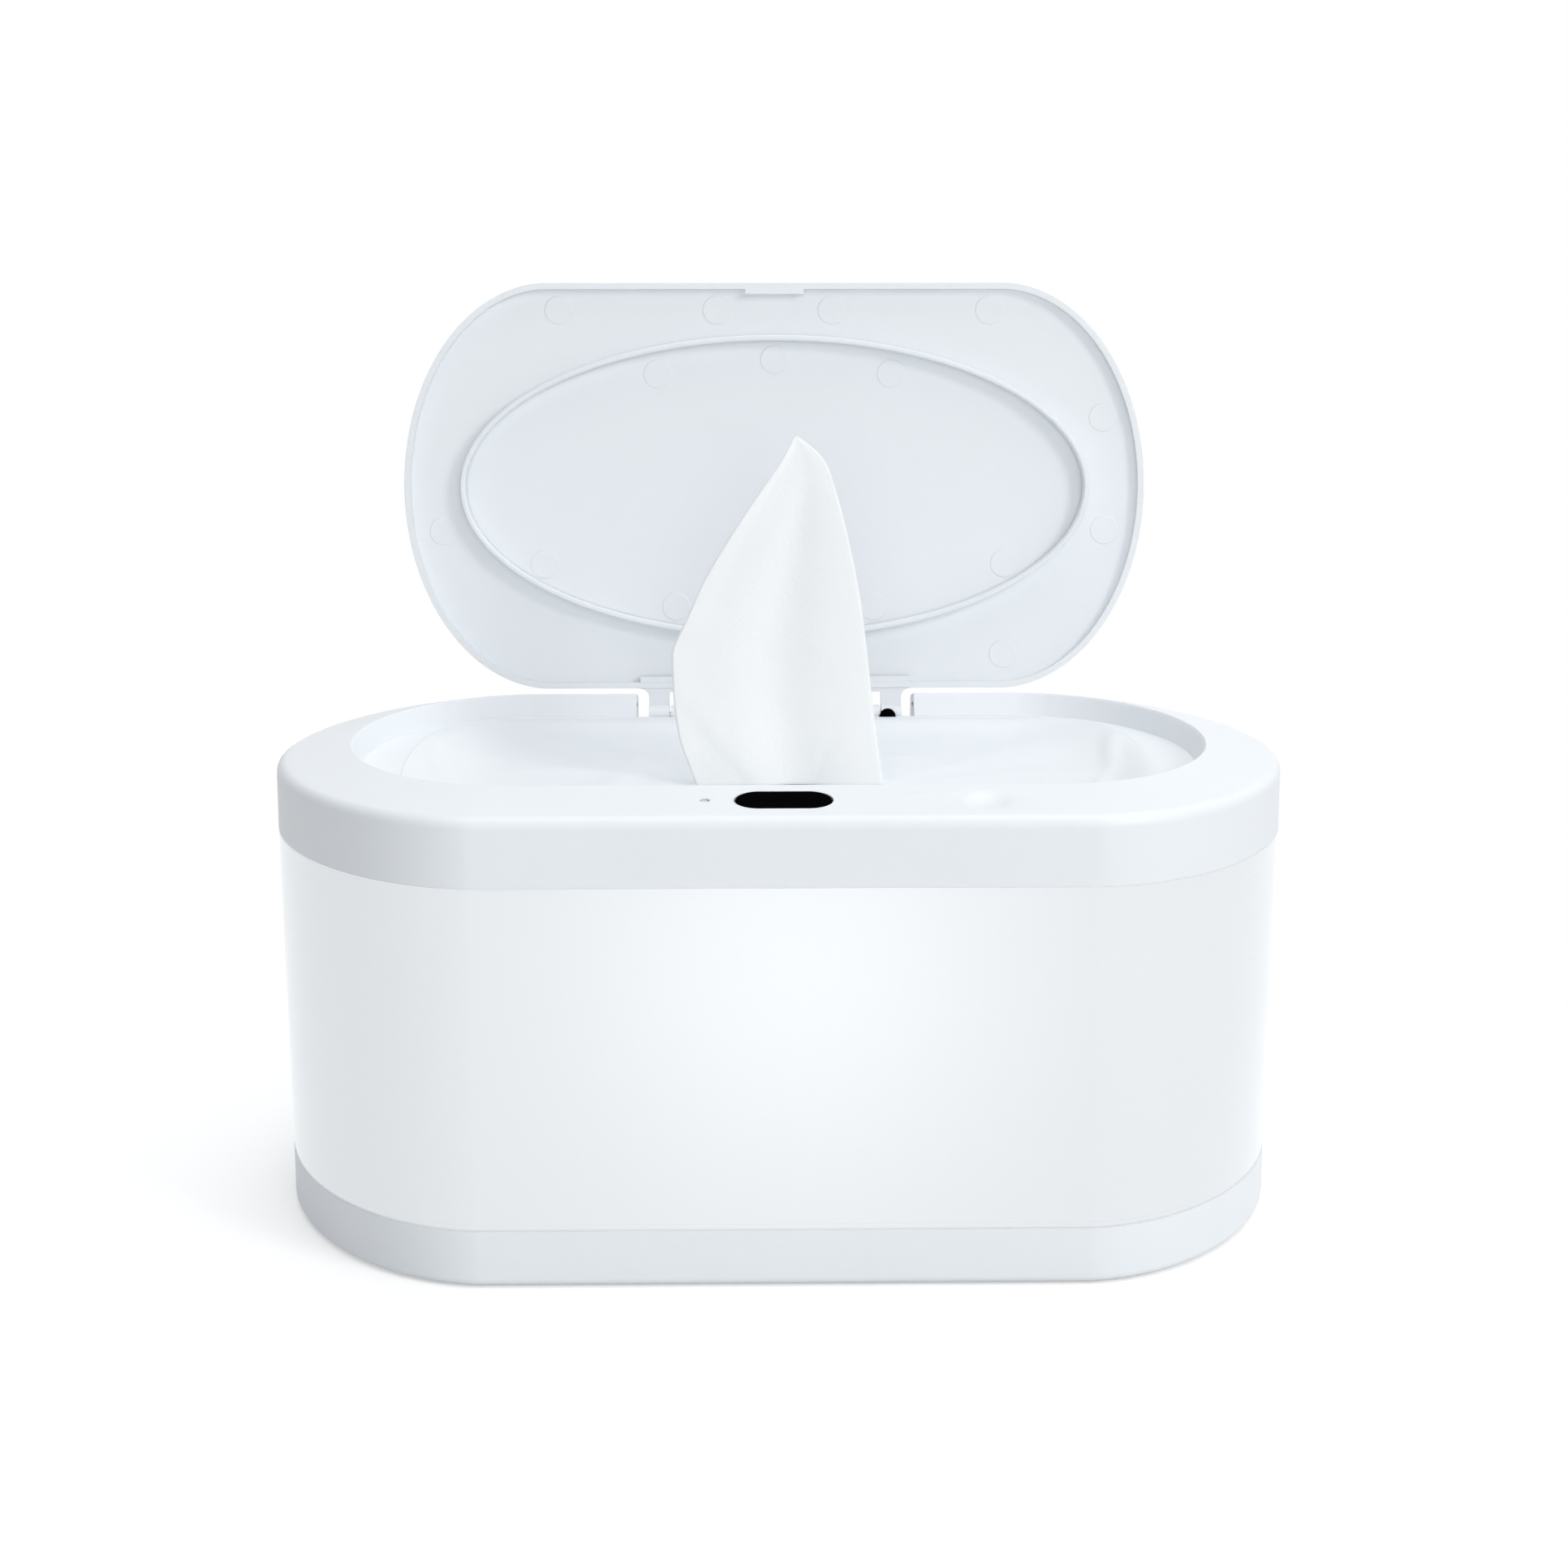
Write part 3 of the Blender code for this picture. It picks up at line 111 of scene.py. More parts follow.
class Number:
    """A value socket whose Python arithmetic adds Math nodes."""

    def __init__(self, graph: "Graph", socket: bpy.types.NodeSocket) -> None:
        """Wrap an output socket of a graph."""
        self.graph = graph
        self.socket = socket

    def join(self, operation: str, *values: "Number | float") -> "Number":
        """Add one Math node.

        Args:
            operation: The Math node's operation.
            values: Its inputs, in order.

        Returns:
            The node's value.
        """
        made = self.graph.node("ShaderNodeMath", {"operation": operation}, dict(enumerate(values)))
        return Number(self.graph, made.outputs[0])

    def __add__(self, other: "Number | float") -> "Number":
        """Self plus other."""
        return self.join("ADD", self, other)

    def __radd__(self, other: float) -> "Number":
        """Other plus self."""
        return self.join("ADD", other, self)

    def __sub__(self, other: "Number | float") -> "Number":
        """Self less other."""
        return self.join("SUBTRACT", self, other)

    def __rsub__(self, other: float) -> "Number":
        """Other less self."""
        return self.join("SUBTRACT", other, self)

    def __mul__(self, other: "Number | float") -> "Number":
        """Self times other."""
        return self.join("MULTIPLY", self, other)

    def __rmul__(self, other: float) -> "Number":
        """Other times self."""
        return self.join("MULTIPLY", other, self)

    def __truediv__(self, other: "Number | float") -> "Number":
        """Self over other."""
        return self.join("DIVIDE", self, other)

    def exponent(self) -> "Number":
        """The natural exponent of self."""
        return self.join("EXPONENT", self)

    def at_most(self, limit: float) -> "Number":
        """Self, or the limit where self is more."""
        return self.join("MINIMUM", self, limit)

    def rises(self, low: float, high: float) -> "Number":
        """Zero below low, one above high and smooth between.

        Args:
            low: Where the step starts.
            high: Where it ends.

        Returns:
            The mask.
        """
        made = self.graph.node("ShaderNodeMapRange", {"interpolation_type": "SMOOTHSTEP"},
                               {"Value": self, "From Min": low, "From Max": high})
        return Number(self.graph, made.outputs[0])


class Graph:
    """The nodes of one material, lamp or world."""

    def __init__(self, tree: bpy.types.NodeTree) -> None:
        """Start from an emptied node tree."""
        tree.nodes.clear()
        self.tree = tree

    def node(self, kind: str, settings: dict | None = None, inputs: dict | None = None) -> bpy.types.Node:
        """Add a node.

        Args:
            kind: The node's type.
            settings: Its own settings, set first.
            inputs: Values, or links, by socket name or number.

        Returns:
            The node.
        """
        made = self.tree.nodes.new(kind)
        for name, value in (settings or {}).items():
            setattr(made, name, value)
        for name, value in (inputs or {}).items():
            source = value.socket if isinstance(value, Number) else value
            if isinstance(source, bpy.types.NodeSocket):
                self.tree.links.new(source, made.inputs[name])
            else:
                made.inputs[name].default_value = source
        return made

    def number(self, made: bpy.types.Node, output: str | int = 0) -> Number:
        """One output of a node as a number."""
        return Number(self, made.outputs[output])

    def noise(self, place: bpy.types.NodeSocket, size: float, detail: float = 2.0) -> Number:
        """Smooth noise between zero and one.

        Args:
            place: The coordinates.
            size: The noise's period in metres.
            detail: How many finer layers it has.

        Returns:
            The noise.
        """
        made = self.node("ShaderNodeTexNoise", inputs={"Vector": place, "Scale": 1 / size, "Detail": detail})
        return self.number(made, "Fac")

    def mix(self, factor: Number | float, first: Colour, second: Colour) -> bpy.types.NodeSocket:
        """Blend two colours.

        Args:
            factor: The share of the second one.
            first: Linear red, green and blue.
            second: The same.

        Returns:
            The colour's socket.
        """
        made = self.node("ShaderNodeMix", {"data_type": "RGBA"},
                         {0: factor, 6: (*first, 1.0), 7: (*second, 1.0)})
        return made.outputs[2]


@dataclass(frozen=True)
class Finish:
    """A finish: its colour, gloss and the fine texture that its making leaves."""
    name: str
    slot: str
    colour: Colour
    roughness: float
    pattern: Pattern = Pattern.MOULDED
    metallic: float = 0.0
    grain: float = 0.5 * MM
    depth: float = 0.01 * MM
    mottle: float = 0.015
    coat: float = 0.0
    specular: float = 0.5
    edge: float = 0.25 * MM
    cloud: float = 25 * MM
    grain_gloss: float = 0.1
    cloud_gloss: float = 0.08
    coat_roughness: float = 0.12

    def shade(self, share: float) -> Colour:
        """The colour made lighter or darker by a share."""
        return tuple(min(1.0, channel * (1 + share)) for channel in self.colour)

    def relief(self, graph: Graph, place: bpy.types.NodeSocket) -> Number:
        """Height of the texture.

        Args:
            graph: The material's graph.
            place: The coordinates.

        Returns:
            A height between about zero and one.
        """
        if self.pattern is Pattern.DRAWN:
            wave = graph.node("ShaderNodeTexWave", {"wave_type": "BANDS", "bands_direction": "Z"},
                              {"Vector": place, "Scale": DRAWN_BANDS / self.grain,
                               "Distortion": DRAWN_WAVER, "Detail": 2.0})
            return graph.number(wave, "Fac")
        if self.pattern is Pattern.FELTED:
            cells = graph.node("ShaderNodeTexVoronoi", {"feature": "SMOOTH_F1"},
                               {"Vector": place, "Scale": 1 / self.grain})
            fibres = graph.noise(place, self.grain, 6.0)
            return fibres * FELT_SHARE + graph.number(cells, "Distance") * (1 - FELT_SHARE)
        if self.pattern is Pattern.TRACED:
            cells = graph.node("ShaderNodeTexVoronoi", {"feature": "DISTANCE_TO_EDGE"},
                               {"Vector": place, "Scale": 1 / self.grain})
            return 1.0 - graph.number(cells, "Distance").rises(*TRACE_EDGES)
        if self.pattern is Pattern.CRINKLED:
            wide = graph.noise(place, CRINKLE_SPAN * self.grain, 2.0)
            return wide * CRINKLE_SHARE + graph.noise(place, self.grain, 1.0) * (1 - CRINKLE_SHARE)
        return graph.noise(place, self.grain, 3.0)

    def glow(self, graph: Graph, place: bpy.types.NodeSocket, shader: bpy.types.Node) -> None:
        """Plain finishes give no light."""

    def material(self) -> bpy.types.Material:
        """Make the material, or find it if it is made.

        Returns:
            The material.
        """
        found = bpy.data.materials.get(self.name)
        if found is not None:
            return found
        made = bpy.data.materials.new(self.name)
        made.use_nodes = True
        graph = Graph(made.node_tree)
        place = graph.node("ShaderNodeTexCoord").outputs["Object"]
        clouds = graph.noise(place, self.cloud, 3.0)
        relief = self.relief(graph, place)
        tint = clouds if self.pattern is not Pattern.TRACED else relief
        rounded = graph.node("ShaderNodeBevel", {"samples": 4}, {"Radius": self.edge})
        bump = graph.node("ShaderNodeBump", inputs={"Strength": 1.0, "Distance": self.depth,
                                                    "Height": relief, "Normal": rounded.outputs[0]})
        gloss = (relief - 0.5) * self.grain_gloss + (clouds - 0.5) * self.cloud_gloss
        shader = graph.node("ShaderNodeBsdfPrincipled", inputs={
            "Base Color": graph.mix(tint, self.shade(-self.mottle), self.shade(self.mottle)),
            "Roughness": self.roughness + gloss,
            "Metallic": self.metallic, "Coat Weight": self.coat, "Coat Roughness": self.coat_roughness,
            "Specular IOR Level": self.specular, "Normal": bump.outputs[0]})
        self.glow(graph, place, shader)
        graph.node("ShaderNodeOutputMaterial", inputs={"Surface": shader.outputs[0]})
        return made


@dataclass(frozen=True)
class PaintedGlowFinish(Finish):
    """A milky wall whose glow is painted: emission stands in for the night light behind it, brightest near
    its lamps, and for light scattered through the wall all round.
    """
    lamp_place: Point = (3 * MM, 78 * MM)
    lamp_reach: Point = (38 * MM, 42 * MM)
    # Painted glow: emission strengths for the pool of light over the lamps and for the even glow all round.
    painted_lamp_glow: float = 0.16
    painted_even_glow: float = 0.575
    light_tint: Colour = (0.955, 0.98, 1.0)
    front: float = -62 * MM
    front_fade: float = 30 * MM

    def glow(self, graph: Graph, place: bpy.types.NodeSocket, shader: bpy.types.Node) -> None:
        """Paint the wall's glow: a painted pool of light where the lamps stand behind it, and an even
        painted glow all round for light scattered through the milky wall.

        Args:
            graph: The material's graph.
            place: The coordinates.
            shader: The shader that glows.
        """
        parts = graph.node("ShaderNodeSeparateXYZ", inputs={"Vector": place})
        across = (graph.number(parts, "X") - self.lamp_place[0]) / self.lamp_reach[0]
        up = (graph.number(parts, "Z") - self.lamp_place[1]) / self.lamp_reach[1]
        # Painted pool of light on the front of the wall, over where the lamps stand behind it.
        painted_pool = ((across * across + up * up) * -0.5).exponent()
        before = 1.0 - graph.number(parts, "Y").rises(self.front, self.front + self.front_fade)
        most = self.painted_even_glow + self.painted_lamp_glow
        share = (painted_pool * before * self.painted_lamp_glow + self.painted_even_glow) / most
        light = graph.mix(share, DARK, self.light_tint)
        graph.tree.links.new(light, shader.inputs["Emission Color"])
        shader.inputs["Emission Strength"].default_value = most


HOUSING = Finish("satin_white_moulding", "housing_plastic", (0.862, 0.888, 0.918), 0.42, grain=0.35 * MM,
                 depth=0.004 * MM)
# Painted glow: the shell's base colour is kept dark, and most of its brightness is painted emission standing
# in for the night light and the milky wall's scattered light.
SHELL = PaintedGlowFinish("milky_wall_painted_glow", "shell_plastic", (0.28, 0.285, 0.29), 0.30, grain=0.6 * MM,
                  depth=0.003 * MM, specular=0.05)
LID_WHITE = Finish("satin_lid_moulding", "lid_plastic", (0.847, 0.873, 0.899), 0.46, grain=0.3 * MM,
                   depth=0.005 * MM)
TUB_WHITE = Finish("tub_moulding", "tub_plastic", (0.84, 0.86, 0.88), 0.40, depth=0.004 * MM)
BLACK = Finish("black_gloss_moulding", "black_plastic", (0.002, 0.002, 0.0025), 0.14, mottle=0.2,
               depth=0.0005 * MM, specular=0.0)
RUBBER = Finish("foot_rubber", "foot_rubber", (0.05, 0.05, 0.055), 0.75, mottle=0.1, depth=0.03 * MM)
LENS = Finish("light_pipe", "clear_plastic", (0.70, 0.72, 0.74), 0.12, mottle=0.03, coat=0.5)
STEEL = Finish("drawn_steel", "steel", (0.58, 0.59, 0.61), 0.28, Pattern.DRAWN, 1.0, 0.2 * MM,
               0.004 * MM, 0.05)
PLATE = Finish("rolled_aluminium", "plate_aluminium", (0.76, 0.77, 0.78), 0.35, Pattern.DRAWN, 1.0,
               0.4 * MM, 0.004 * MM, 0.04)
FOIL = Finish("heater_foil", "heater_film", (0.62, 0.30, 0.10), 0.35, Pattern.TRACED, 0.0, 6 * MM,
              0.05 * MM, 0.2)
FELT = Finish("insulation_felt", "insulation", (0.72, 0.72, 0.70), 0.95, Pattern.FELTED, 0.0, 1.2 * MM,
              0.3 * MM, 0.08)
BOARD = Finish("lacquered_board", "circuit_board", (0.03, 0.20, 0.10), 0.35, Pattern.TRACED, 0.0, 3 * MM,
               0.03 * MM, 0.35)
LAMP = Finish("lamp_lens", "lamp", (0.92, 0.92, 0.80), 0.20, mottle=0.03)
FILM = Finish("crinkled_film", "wipes", (0.855, 0.885, 0.905), 0.34, Pattern.CRINKLED, 0.0, 2.0 * MM,
              0.015 * MM, 0.015, 0.1, edge=0.0)
CLOTH = Finish("soft_nonwoven", "wipe_cloth", (0.975, 0.98, 0.985), 0.95, Pattern.FELTED, 0.0, 0.8 * MM,
               0.10 * MM, 0.010, specular=0.1, edge=0.0)

CAD_FINISHES = {
    "base_screw_1": STEEL, "base_screw_2": STEEL, "base_screw_3": STEEL, "base_screw_4": STEEL,
    "wipe_tub": TUB_WHITE, "heater_plate": PLATE, "heater_film": FOIL, "insulation_pad": FELT,
    "thermostat": STEEL, "thermal_fuse": STEEL, "control_board": BOARD, "night_light_board": BOARD,
    "night_light_led_1": LAMP, "night_light_led_2": LAMP, "night_light_led_3": LAMP,
    "power_socket": BLACK, "touch_pad": RUBBER, "catch_slide": HOUSING, "catch_tray": HOUSING,
}


def joint(name: str) -> dict:
    """One joint of the frame."""
    return next(each for each in frame["joints"] if each["name"] == name)


def ease(share: float) -> float:
    """A smooth step from zero to one."""
    share = min(1.0, max(0.0, share))
    return share * share * (3 - 2 * share)


def read_table(table: Sequence[Point], at: float) -> float:
    """Read a table of points, smoothly between them.

    Args:
        table: Pairs of place and value, in order of place.
        at: Where to read it.

    Returns:
        The value there.
    """
    if at <= table[0][0]:
        return table[0][1]
    for index in range(len(table) - 1):
        (start, first), (end, second) = table[index], table[index + 1]
        if at <= end:
            before = table[max(index - 1, 0)]
            after = table[min(index + 2, len(table) - 1)]
            span = end - start
            first_slope = (second - before[1]) / (end - before[0]) * span
            second_slope = (after[1] - first) / (after[0] - start) * span
            share = (at - start) / span
            return ((2 * share ** 3 - 3 * share ** 2 + 1) * first
                    + (share ** 3 - 2 * share ** 2 + share) * first_slope
                    + (3 * share ** 2 - 2 * share ** 3) * second
                    + (share ** 3 - share ** 2) * second_slope)
    return table[-1][1]


@dataclass(frozen=True)
class Oval:
    """A plan outline of the part: straight runs joined by rounded ends."""
    half_x: float
    half_y: float
    end: float
    centre_y: float
    power: float

    def share_of(self, out: float, rise: float, inset: float) -> float:
        """One on the ring with an inset, less inside it and more outside it."""
        return (out / (self.end - inset)) ** self.power + (rise / (self.half_y - inset)) ** self.power

    def inset_of(self, x: float, y: float) -> float:
        """How far inside the outline the ring through a point lies.

        Args:
            x: Place across.
            y: Place in depth.

        Returns:
            The inset, negative outside.
        """
        out, rise = max(abs(x) - self.half_x + self.end, 0.0), abs(y - self.centre_y)
        low, high = -SEARCH_OUTSIDE, min(self.end, self.half_y) - SEARCH_END
        for _ in range(SEARCH_STEPS):
            middle = (low + high) / 2
            low, high = (low, middle) if self.share_of(out, rise, middle) > 1 else (middle, high)
        return low

    def fit(self, place: Vector, inset: float) -> Vector:
        """Move a point sideways onto the ring with an inset.

        Args:
            place: The point.
            inset: The ring's inset.

        Returns:
            The point on the ring.
        """
        straight = self.half_x - self.end
        out, rise = abs(place.x) - straight, place.y - self.centre_y
        if out <= 0:
            return place
        scale = self.share_of(out, abs(rise), inset) ** (-1 / self.power)
        across = math.copysign(straight + out * scale, place.x)
        return Vector((across, self.centre_y + rise * scale, place.z))


BODY = Oval(125.0 * MM, 80.6 * MM, 55.8 * MM, 0.0, 1.85)
BASE_TOP = Oval(123.8 * MM, 79.4 * MM, 54.6 * MM, 0.0, 1.85)
RECESS = Oval(106.15 * MM, 60.75 * MM, 42.65 * MM, 3.4 * MM, 2.0)
MOUTH = Oval(93.0 * MM, 54.0 * MM, 23.0 * MM, 3.4 * MM, 2.6)
LID_OVAL = Oval(99.95 * MM, 54.55 * MM, 39.3 * MM, 3.4 * MM, 2.0)
SEAL_OVAL = Oval(85.0 * MM, 40.75 * MM, 85.0 * MM, 3.4 * MM, 2.0)


def refine(shape: bmesh.types.BMesh, ovals: Sequence[tuple[Oval, float]], cuts: int = 3) -> None:
    """Round off the facets of the walls that follow an oval.

    Args:
        shape: A closed mesh in the pose in which its ovals lie level.
        ovals: Each oval, with how far inside it its rings reach.
        cuts: How many points to add along each facet.
    """
    shape.normal_update()
    walls = [face for face in shape.faces if abs(face.normal.z) < LEVEL]
    bmesh.ops.join_triangles(shape, faces=walls, angle_face_threshold=JOIN_ANGLE,
                             angle_shape_threshold=JOIN_SHAPE)
    family, inset = (shape.verts.layers.float.new(name) for name in ("family", "inset"))
    for point in shape.verts:
        for index, (oval, reach) in enumerate(ovals, 1):
            distance = oval.inset_of(point.co.x, point.co.y)
            if -WALL_OUTSIDE < distance < reach:
                point[family], point[inset] = float(index), distance
                break
    along = []
    shape.normal_update()
    for edge in shape.edges:
        if all(abs(face.normal.z) > LEVEL for face in edge.link_faces):
            continue
        first, last = edge.verts
        level = abs(first.co.z - last.co.z) < SAME_RING and abs(first[inset] - last[inset]) < SAME_RING
        if level and first[family] == last[family] > 0 and edge.calc_length() > LONG_FACET:
            oval = ovals[int(first[family]) - 1][0]
            if min(abs(first.co.x), abs(last.co.x)) > oval.half_x - oval.end - END_START:
                along.append(edge)
    made = bmesh.ops.subdivide_edges(shape, edges=along, cuts=cuts, use_grid_fill=True)
    for point in made["geom_inner"]:
        if isinstance(point, bmesh.types.BMVert) and point[family] > 0:
            point.co = ovals[round(point[family]) - 1][0].fit(point.co, point[inset])


def grid_mesh(name: str, rows: Sequence[Sequence[Vector]], hoop: bool = False,
              caps: bool = False) -> bpy.types.Mesh:
    """Join rows of points into a mesh.

    Args:
        name: The mesh's name.
        rows: Rows with equal counts.
        hoop: Whether each row closes on itself.
        caps: Whether the first and last row are filled.

    Returns:
        The mesh, shaded smooth.
    """
    shape = bmesh.new()
    lines = [[shape.verts.new(point) for point in row] for row in rows]
    count = len(lines[0])
    for low, high in zip(lines, lines[1:]):
        for index in range(count if hoop else count - 1):
            after = (index + 1) % count
            shape.faces.new((low[index], low[after], high[after], high[index]))
    if caps:
        shape.faces.new(lines[0][::-1])
        shape.faces.new(lines[-1])
    bmesh.ops.remove_doubles(shape, verts=shape.verts, dist=GRID_WELD)
    bmesh.ops.recalc_face_normals(shape, faces=shape.faces)
    mesh = bpy.data.meshes.new(name)
    shape.to_mesh(mesh)
    shape.free()
    mesh.shade_smooth()
    return mesh


@dataclass
class Assembly:
    """A group of pieces on one body."""
    body: Body
    sharp: float = math.radians(32)

    def add(self, name: str, mesh: bpy.types.Mesh, finish: Finish, *replaced: str) -> Shape:
        """Put a piece in the scene.

        Args:
            name: The piece's name.
            mesh: Its mesh, in the frame's place.
            finish: Its finish.
            replaced: The CAD nodes that it stands for.

        Returns:
            The piece.
        """
        piece = bpy.data.objects.new(name, mesh)
        bpy.context.scene.collection.objects.link(piece)
        mesh.materials.clear()
        mesh.materials.append(finish.material())
        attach(piece, self.body.value)
        if replaced:
            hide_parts(*replaced)
        log.info("%s, %d faces, rides on %s", name, len(mesh.polygons), self.body.value)
        return piece

    def smooth(self, node: str, finish: Finish, *ovals: tuple[Oval, float],
               turn: Matrix | None = None) -> Shape:
        """Replace a CAD node by the same shape, rounded off and shaded smooth.

        Args:
            node: The node's name.
            finish: The piece's finish.
            ovals: The outlines that its walls follow, as refine takes them.
            turn: The turn from the level pose to the model's pose.

        Returns:
            The piece.
        """
        turn = turn or Matrix.Identity(4)
        shape = bmesh.new()
        shape.from_mesh(frame["nodes"][node].data)
        shape.transform(turn.inverted() @ frame["nodes"][node].matrix_world)
        bmesh.ops.remove_doubles(shape, verts=shape.verts, dist=CAD_WELD)
        if ovals:
            refine(shape, ovals)
        shape.transform(turn)
        mesh = bpy.data.meshes.new(node + "_smooth")
        shape.to_mesh(mesh)
        shape.free()
        stored = mesh.attributes.get("custom_normal")
        if stored is not None:
            mesh.attributes.remove(stored)
        mesh.shade_smooth()
        mesh.set_sharp_from_angle(angle=self.sharp)
        piece = self.add(node + "_shell", mesh, finish, node)
        weighted = piece.modifiers.new("even shading", "WEIGHTED_NORMAL")
        weighted.mode = "FACE_AREA_WITH_ANGLE"
        weighted.keep_sharp = True
        return piece


@dataclass
class Shells(Assembly):
    """The base, the lamp shell and the top housing, with what is set in them."""
    feet: Sequence[str] = ("base_foot_1", "base_foot_2", "base_foot_3", "base_foot_4")
    base_wall: float = 8 * MM
    lamp_wall: float = 6 * MM
    housing_wall: float = 4.5 * MM
    mouth_wall: float = 0.1 * MM
    recess_wall: float = 1.7 * MM

    def build(self) -> None:
        """Dress the outer shells and the small pieces in them."""
        self.smooth("base", HOUSING, (BASE_TOP, self.base_wall))
        self.smooth("lamp_shell", SHELL, (BODY, self.lamp_wall))
        self.smooth("top_housing", HOUSING, (BODY, self.housing_wall), (MOUTH, self.mouth_wall),
                    (RECESS, self.recess_wall))
        self.smooth("indicator_light_pipe", LENS)
        for foot in self.feet:
            self.smooth(foot, RUBBER)
        for node in ("hinge_pin", "hinge_spring"):
            self.smooth(node, STEEL)
        self.catch_spring()

    def catch_spring(self) -> None:
        """Dress the catch's spring; how far it would shorten as the catch draws back is worked out but not
        used.
        """
        low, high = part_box("catch_spring")
        shortened = 1 - max(joint("catch_draw")["range_m"]) / (high.y - low.y)
        spring = self.smooth("catch_spring", STEEL)
        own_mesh(spring)


@dataclass
class Lid(Assembly):
    """The open lid, with the marks that the moulding tool left on its inner face."""
    mark_radius: float = 3.9 * MM
    mark_height: float = 0.07 * MM
    mark_root: float = 0.3 * MM
    mark_slope: float = 8.0
    lid_wall: float = 3.3 * MM
    seal_wall: float = 1.6 * MM
    under: float = 112.0 * MM        # inner face of the closed lid
    pair_marks: Sequence[Point] = ((62.5, 24.2), (26.8, 35.8), (15.5, -44.0), (58.0, -44.0), (31.5, -27.0),
                                   (89.7, 15.2))
    single_marks: Sequence[Point] = ((0.0, -30.8), (62.3, 48.9), (89.0, -15.2))
    sides: int = 32

    def open(self) -> Matrix:
        """The turn from the closed place to the open one, in which the model rests.

        Returns:
            The turn, about the hinge.
        """
        hinge = joint("lid_hinge")
        axis = Matrix.Translation(hinge["pos_m"])
        return axis @ Matrix.Rotation(-math.radians(max(hinge["range_deg"])), 4, "X") @ axis.inverted()

    def mark(self, name: str, x: float, y: float) -> None:
        """A faint raised disc where an ejector pin pressed.

        Args:
            name: The piece's name.
            x: Its place across, with the lid closed.
            y: Its place in depth, with the lid closed.
        """
        edge = self.mark_height
        profile = ((self.mark_radius, self.mark_root), (self.mark_radius, -edge / 4),
                   (self.mark_radius - edge, -edge), (self.mark_radius - self.mark_slope * edge, -edge / 2),
                   (self.mark_radius / 3, -edge / 2))
        rings = [[Vector((x + radius * math.cos(math.tau * step / self.sides),
                          y + radius * math.sin(math.tau * step / self.sides), self.under + rise))
                  for step in range(self.sides)] for radius, rise in profile]
        mesh = grid_mesh(name, rings, hoop=True, caps=True)
        mesh.transform(self.open())
        self.add(name, mesh, LID_WHITE)

    def build(self) -> None:
        """Dress the lid and add its marks."""
        self.smooth("lid", LID_WHITE, (LID_OVAL, self.lid_wall), turn=self.open())
        self.smooth("lid_seal", LID_WHITE, (SEAL_OVAL, self.seal_wall), turn=self.open())
        self.smooth("lid_stud", BLACK)
        places = [(side * x, y) for x, y in self.pair_marks for side in (-1, 1)] + list(self.single_marks)
        for index, (x, y) in enumerate(places, 1):
            self.mark(f"lid_pin_mark_{index:02d}", x * MM, y * MM)


@dataclass
class Button(Assembly):
    """The push button, and the thin bead that rims its hole in the deck."""
    length: float = 22.2 * MM
    depth: float = 10.8 * MM
    stand: float = 0.4 * MM
    face_slack: float = 0.05 * MM
    bead: Sequence[Point] = ((0.31, -0.15), (0.31, 0.06), (0.37, 0.11), (0.47, 0.11), (0.55, 0.05),
                             (0.58, -0.15))
    arc_steps: int = 24

    def rim(self) -> bpy.types.Mesh:
        """A bead round the button's hole, in the plane of the deck.

        Returns:
            The mesh.
        """
        up = -Vector(joint("button_press")["axis"]).normalized()
        back = up.cross(Vector((1, 0, 0)))
        node = frame["nodes"]["release_button"]
        points = [node.matrix_world @ point.co for point in node.data.vertices]
        top = max(point.dot(up) for point in points)
        face = [point.dot(back) for point in points if top - point.dot(up) < self.face_slack]
        middle = up * (top - self.stand) + back * (min(face) + max(face)) / 2
        run = (self.length - self.depth) / 2
        rows = []
        for outset, rise in (*self.bead, self.bead[0]):
            radius, lift = self.depth / 2 + outset * MM, up * rise * MM
            row = []
            for side in (1, -1):
                for step in range(self.arc_steps + 1):
                    turn = math.pi * (step / self.arc_steps - 0.5)
                    across = side * (run + radius * math.cos(turn))
                    away = back * side * radius * math.sin(turn)
                    row.append(middle + Vector((across, 0, 0)) + away + lift)
            rows.append(row)
        return grid_mesh("button_rim", rows, hoop=True)

    def build(self) -> None:
        """Dress the button and its rim."""
        self.smooth("release_button", BLACK)
        Assembly(Body.WARMER).add("button_rim", self.rim(), HOUSING)


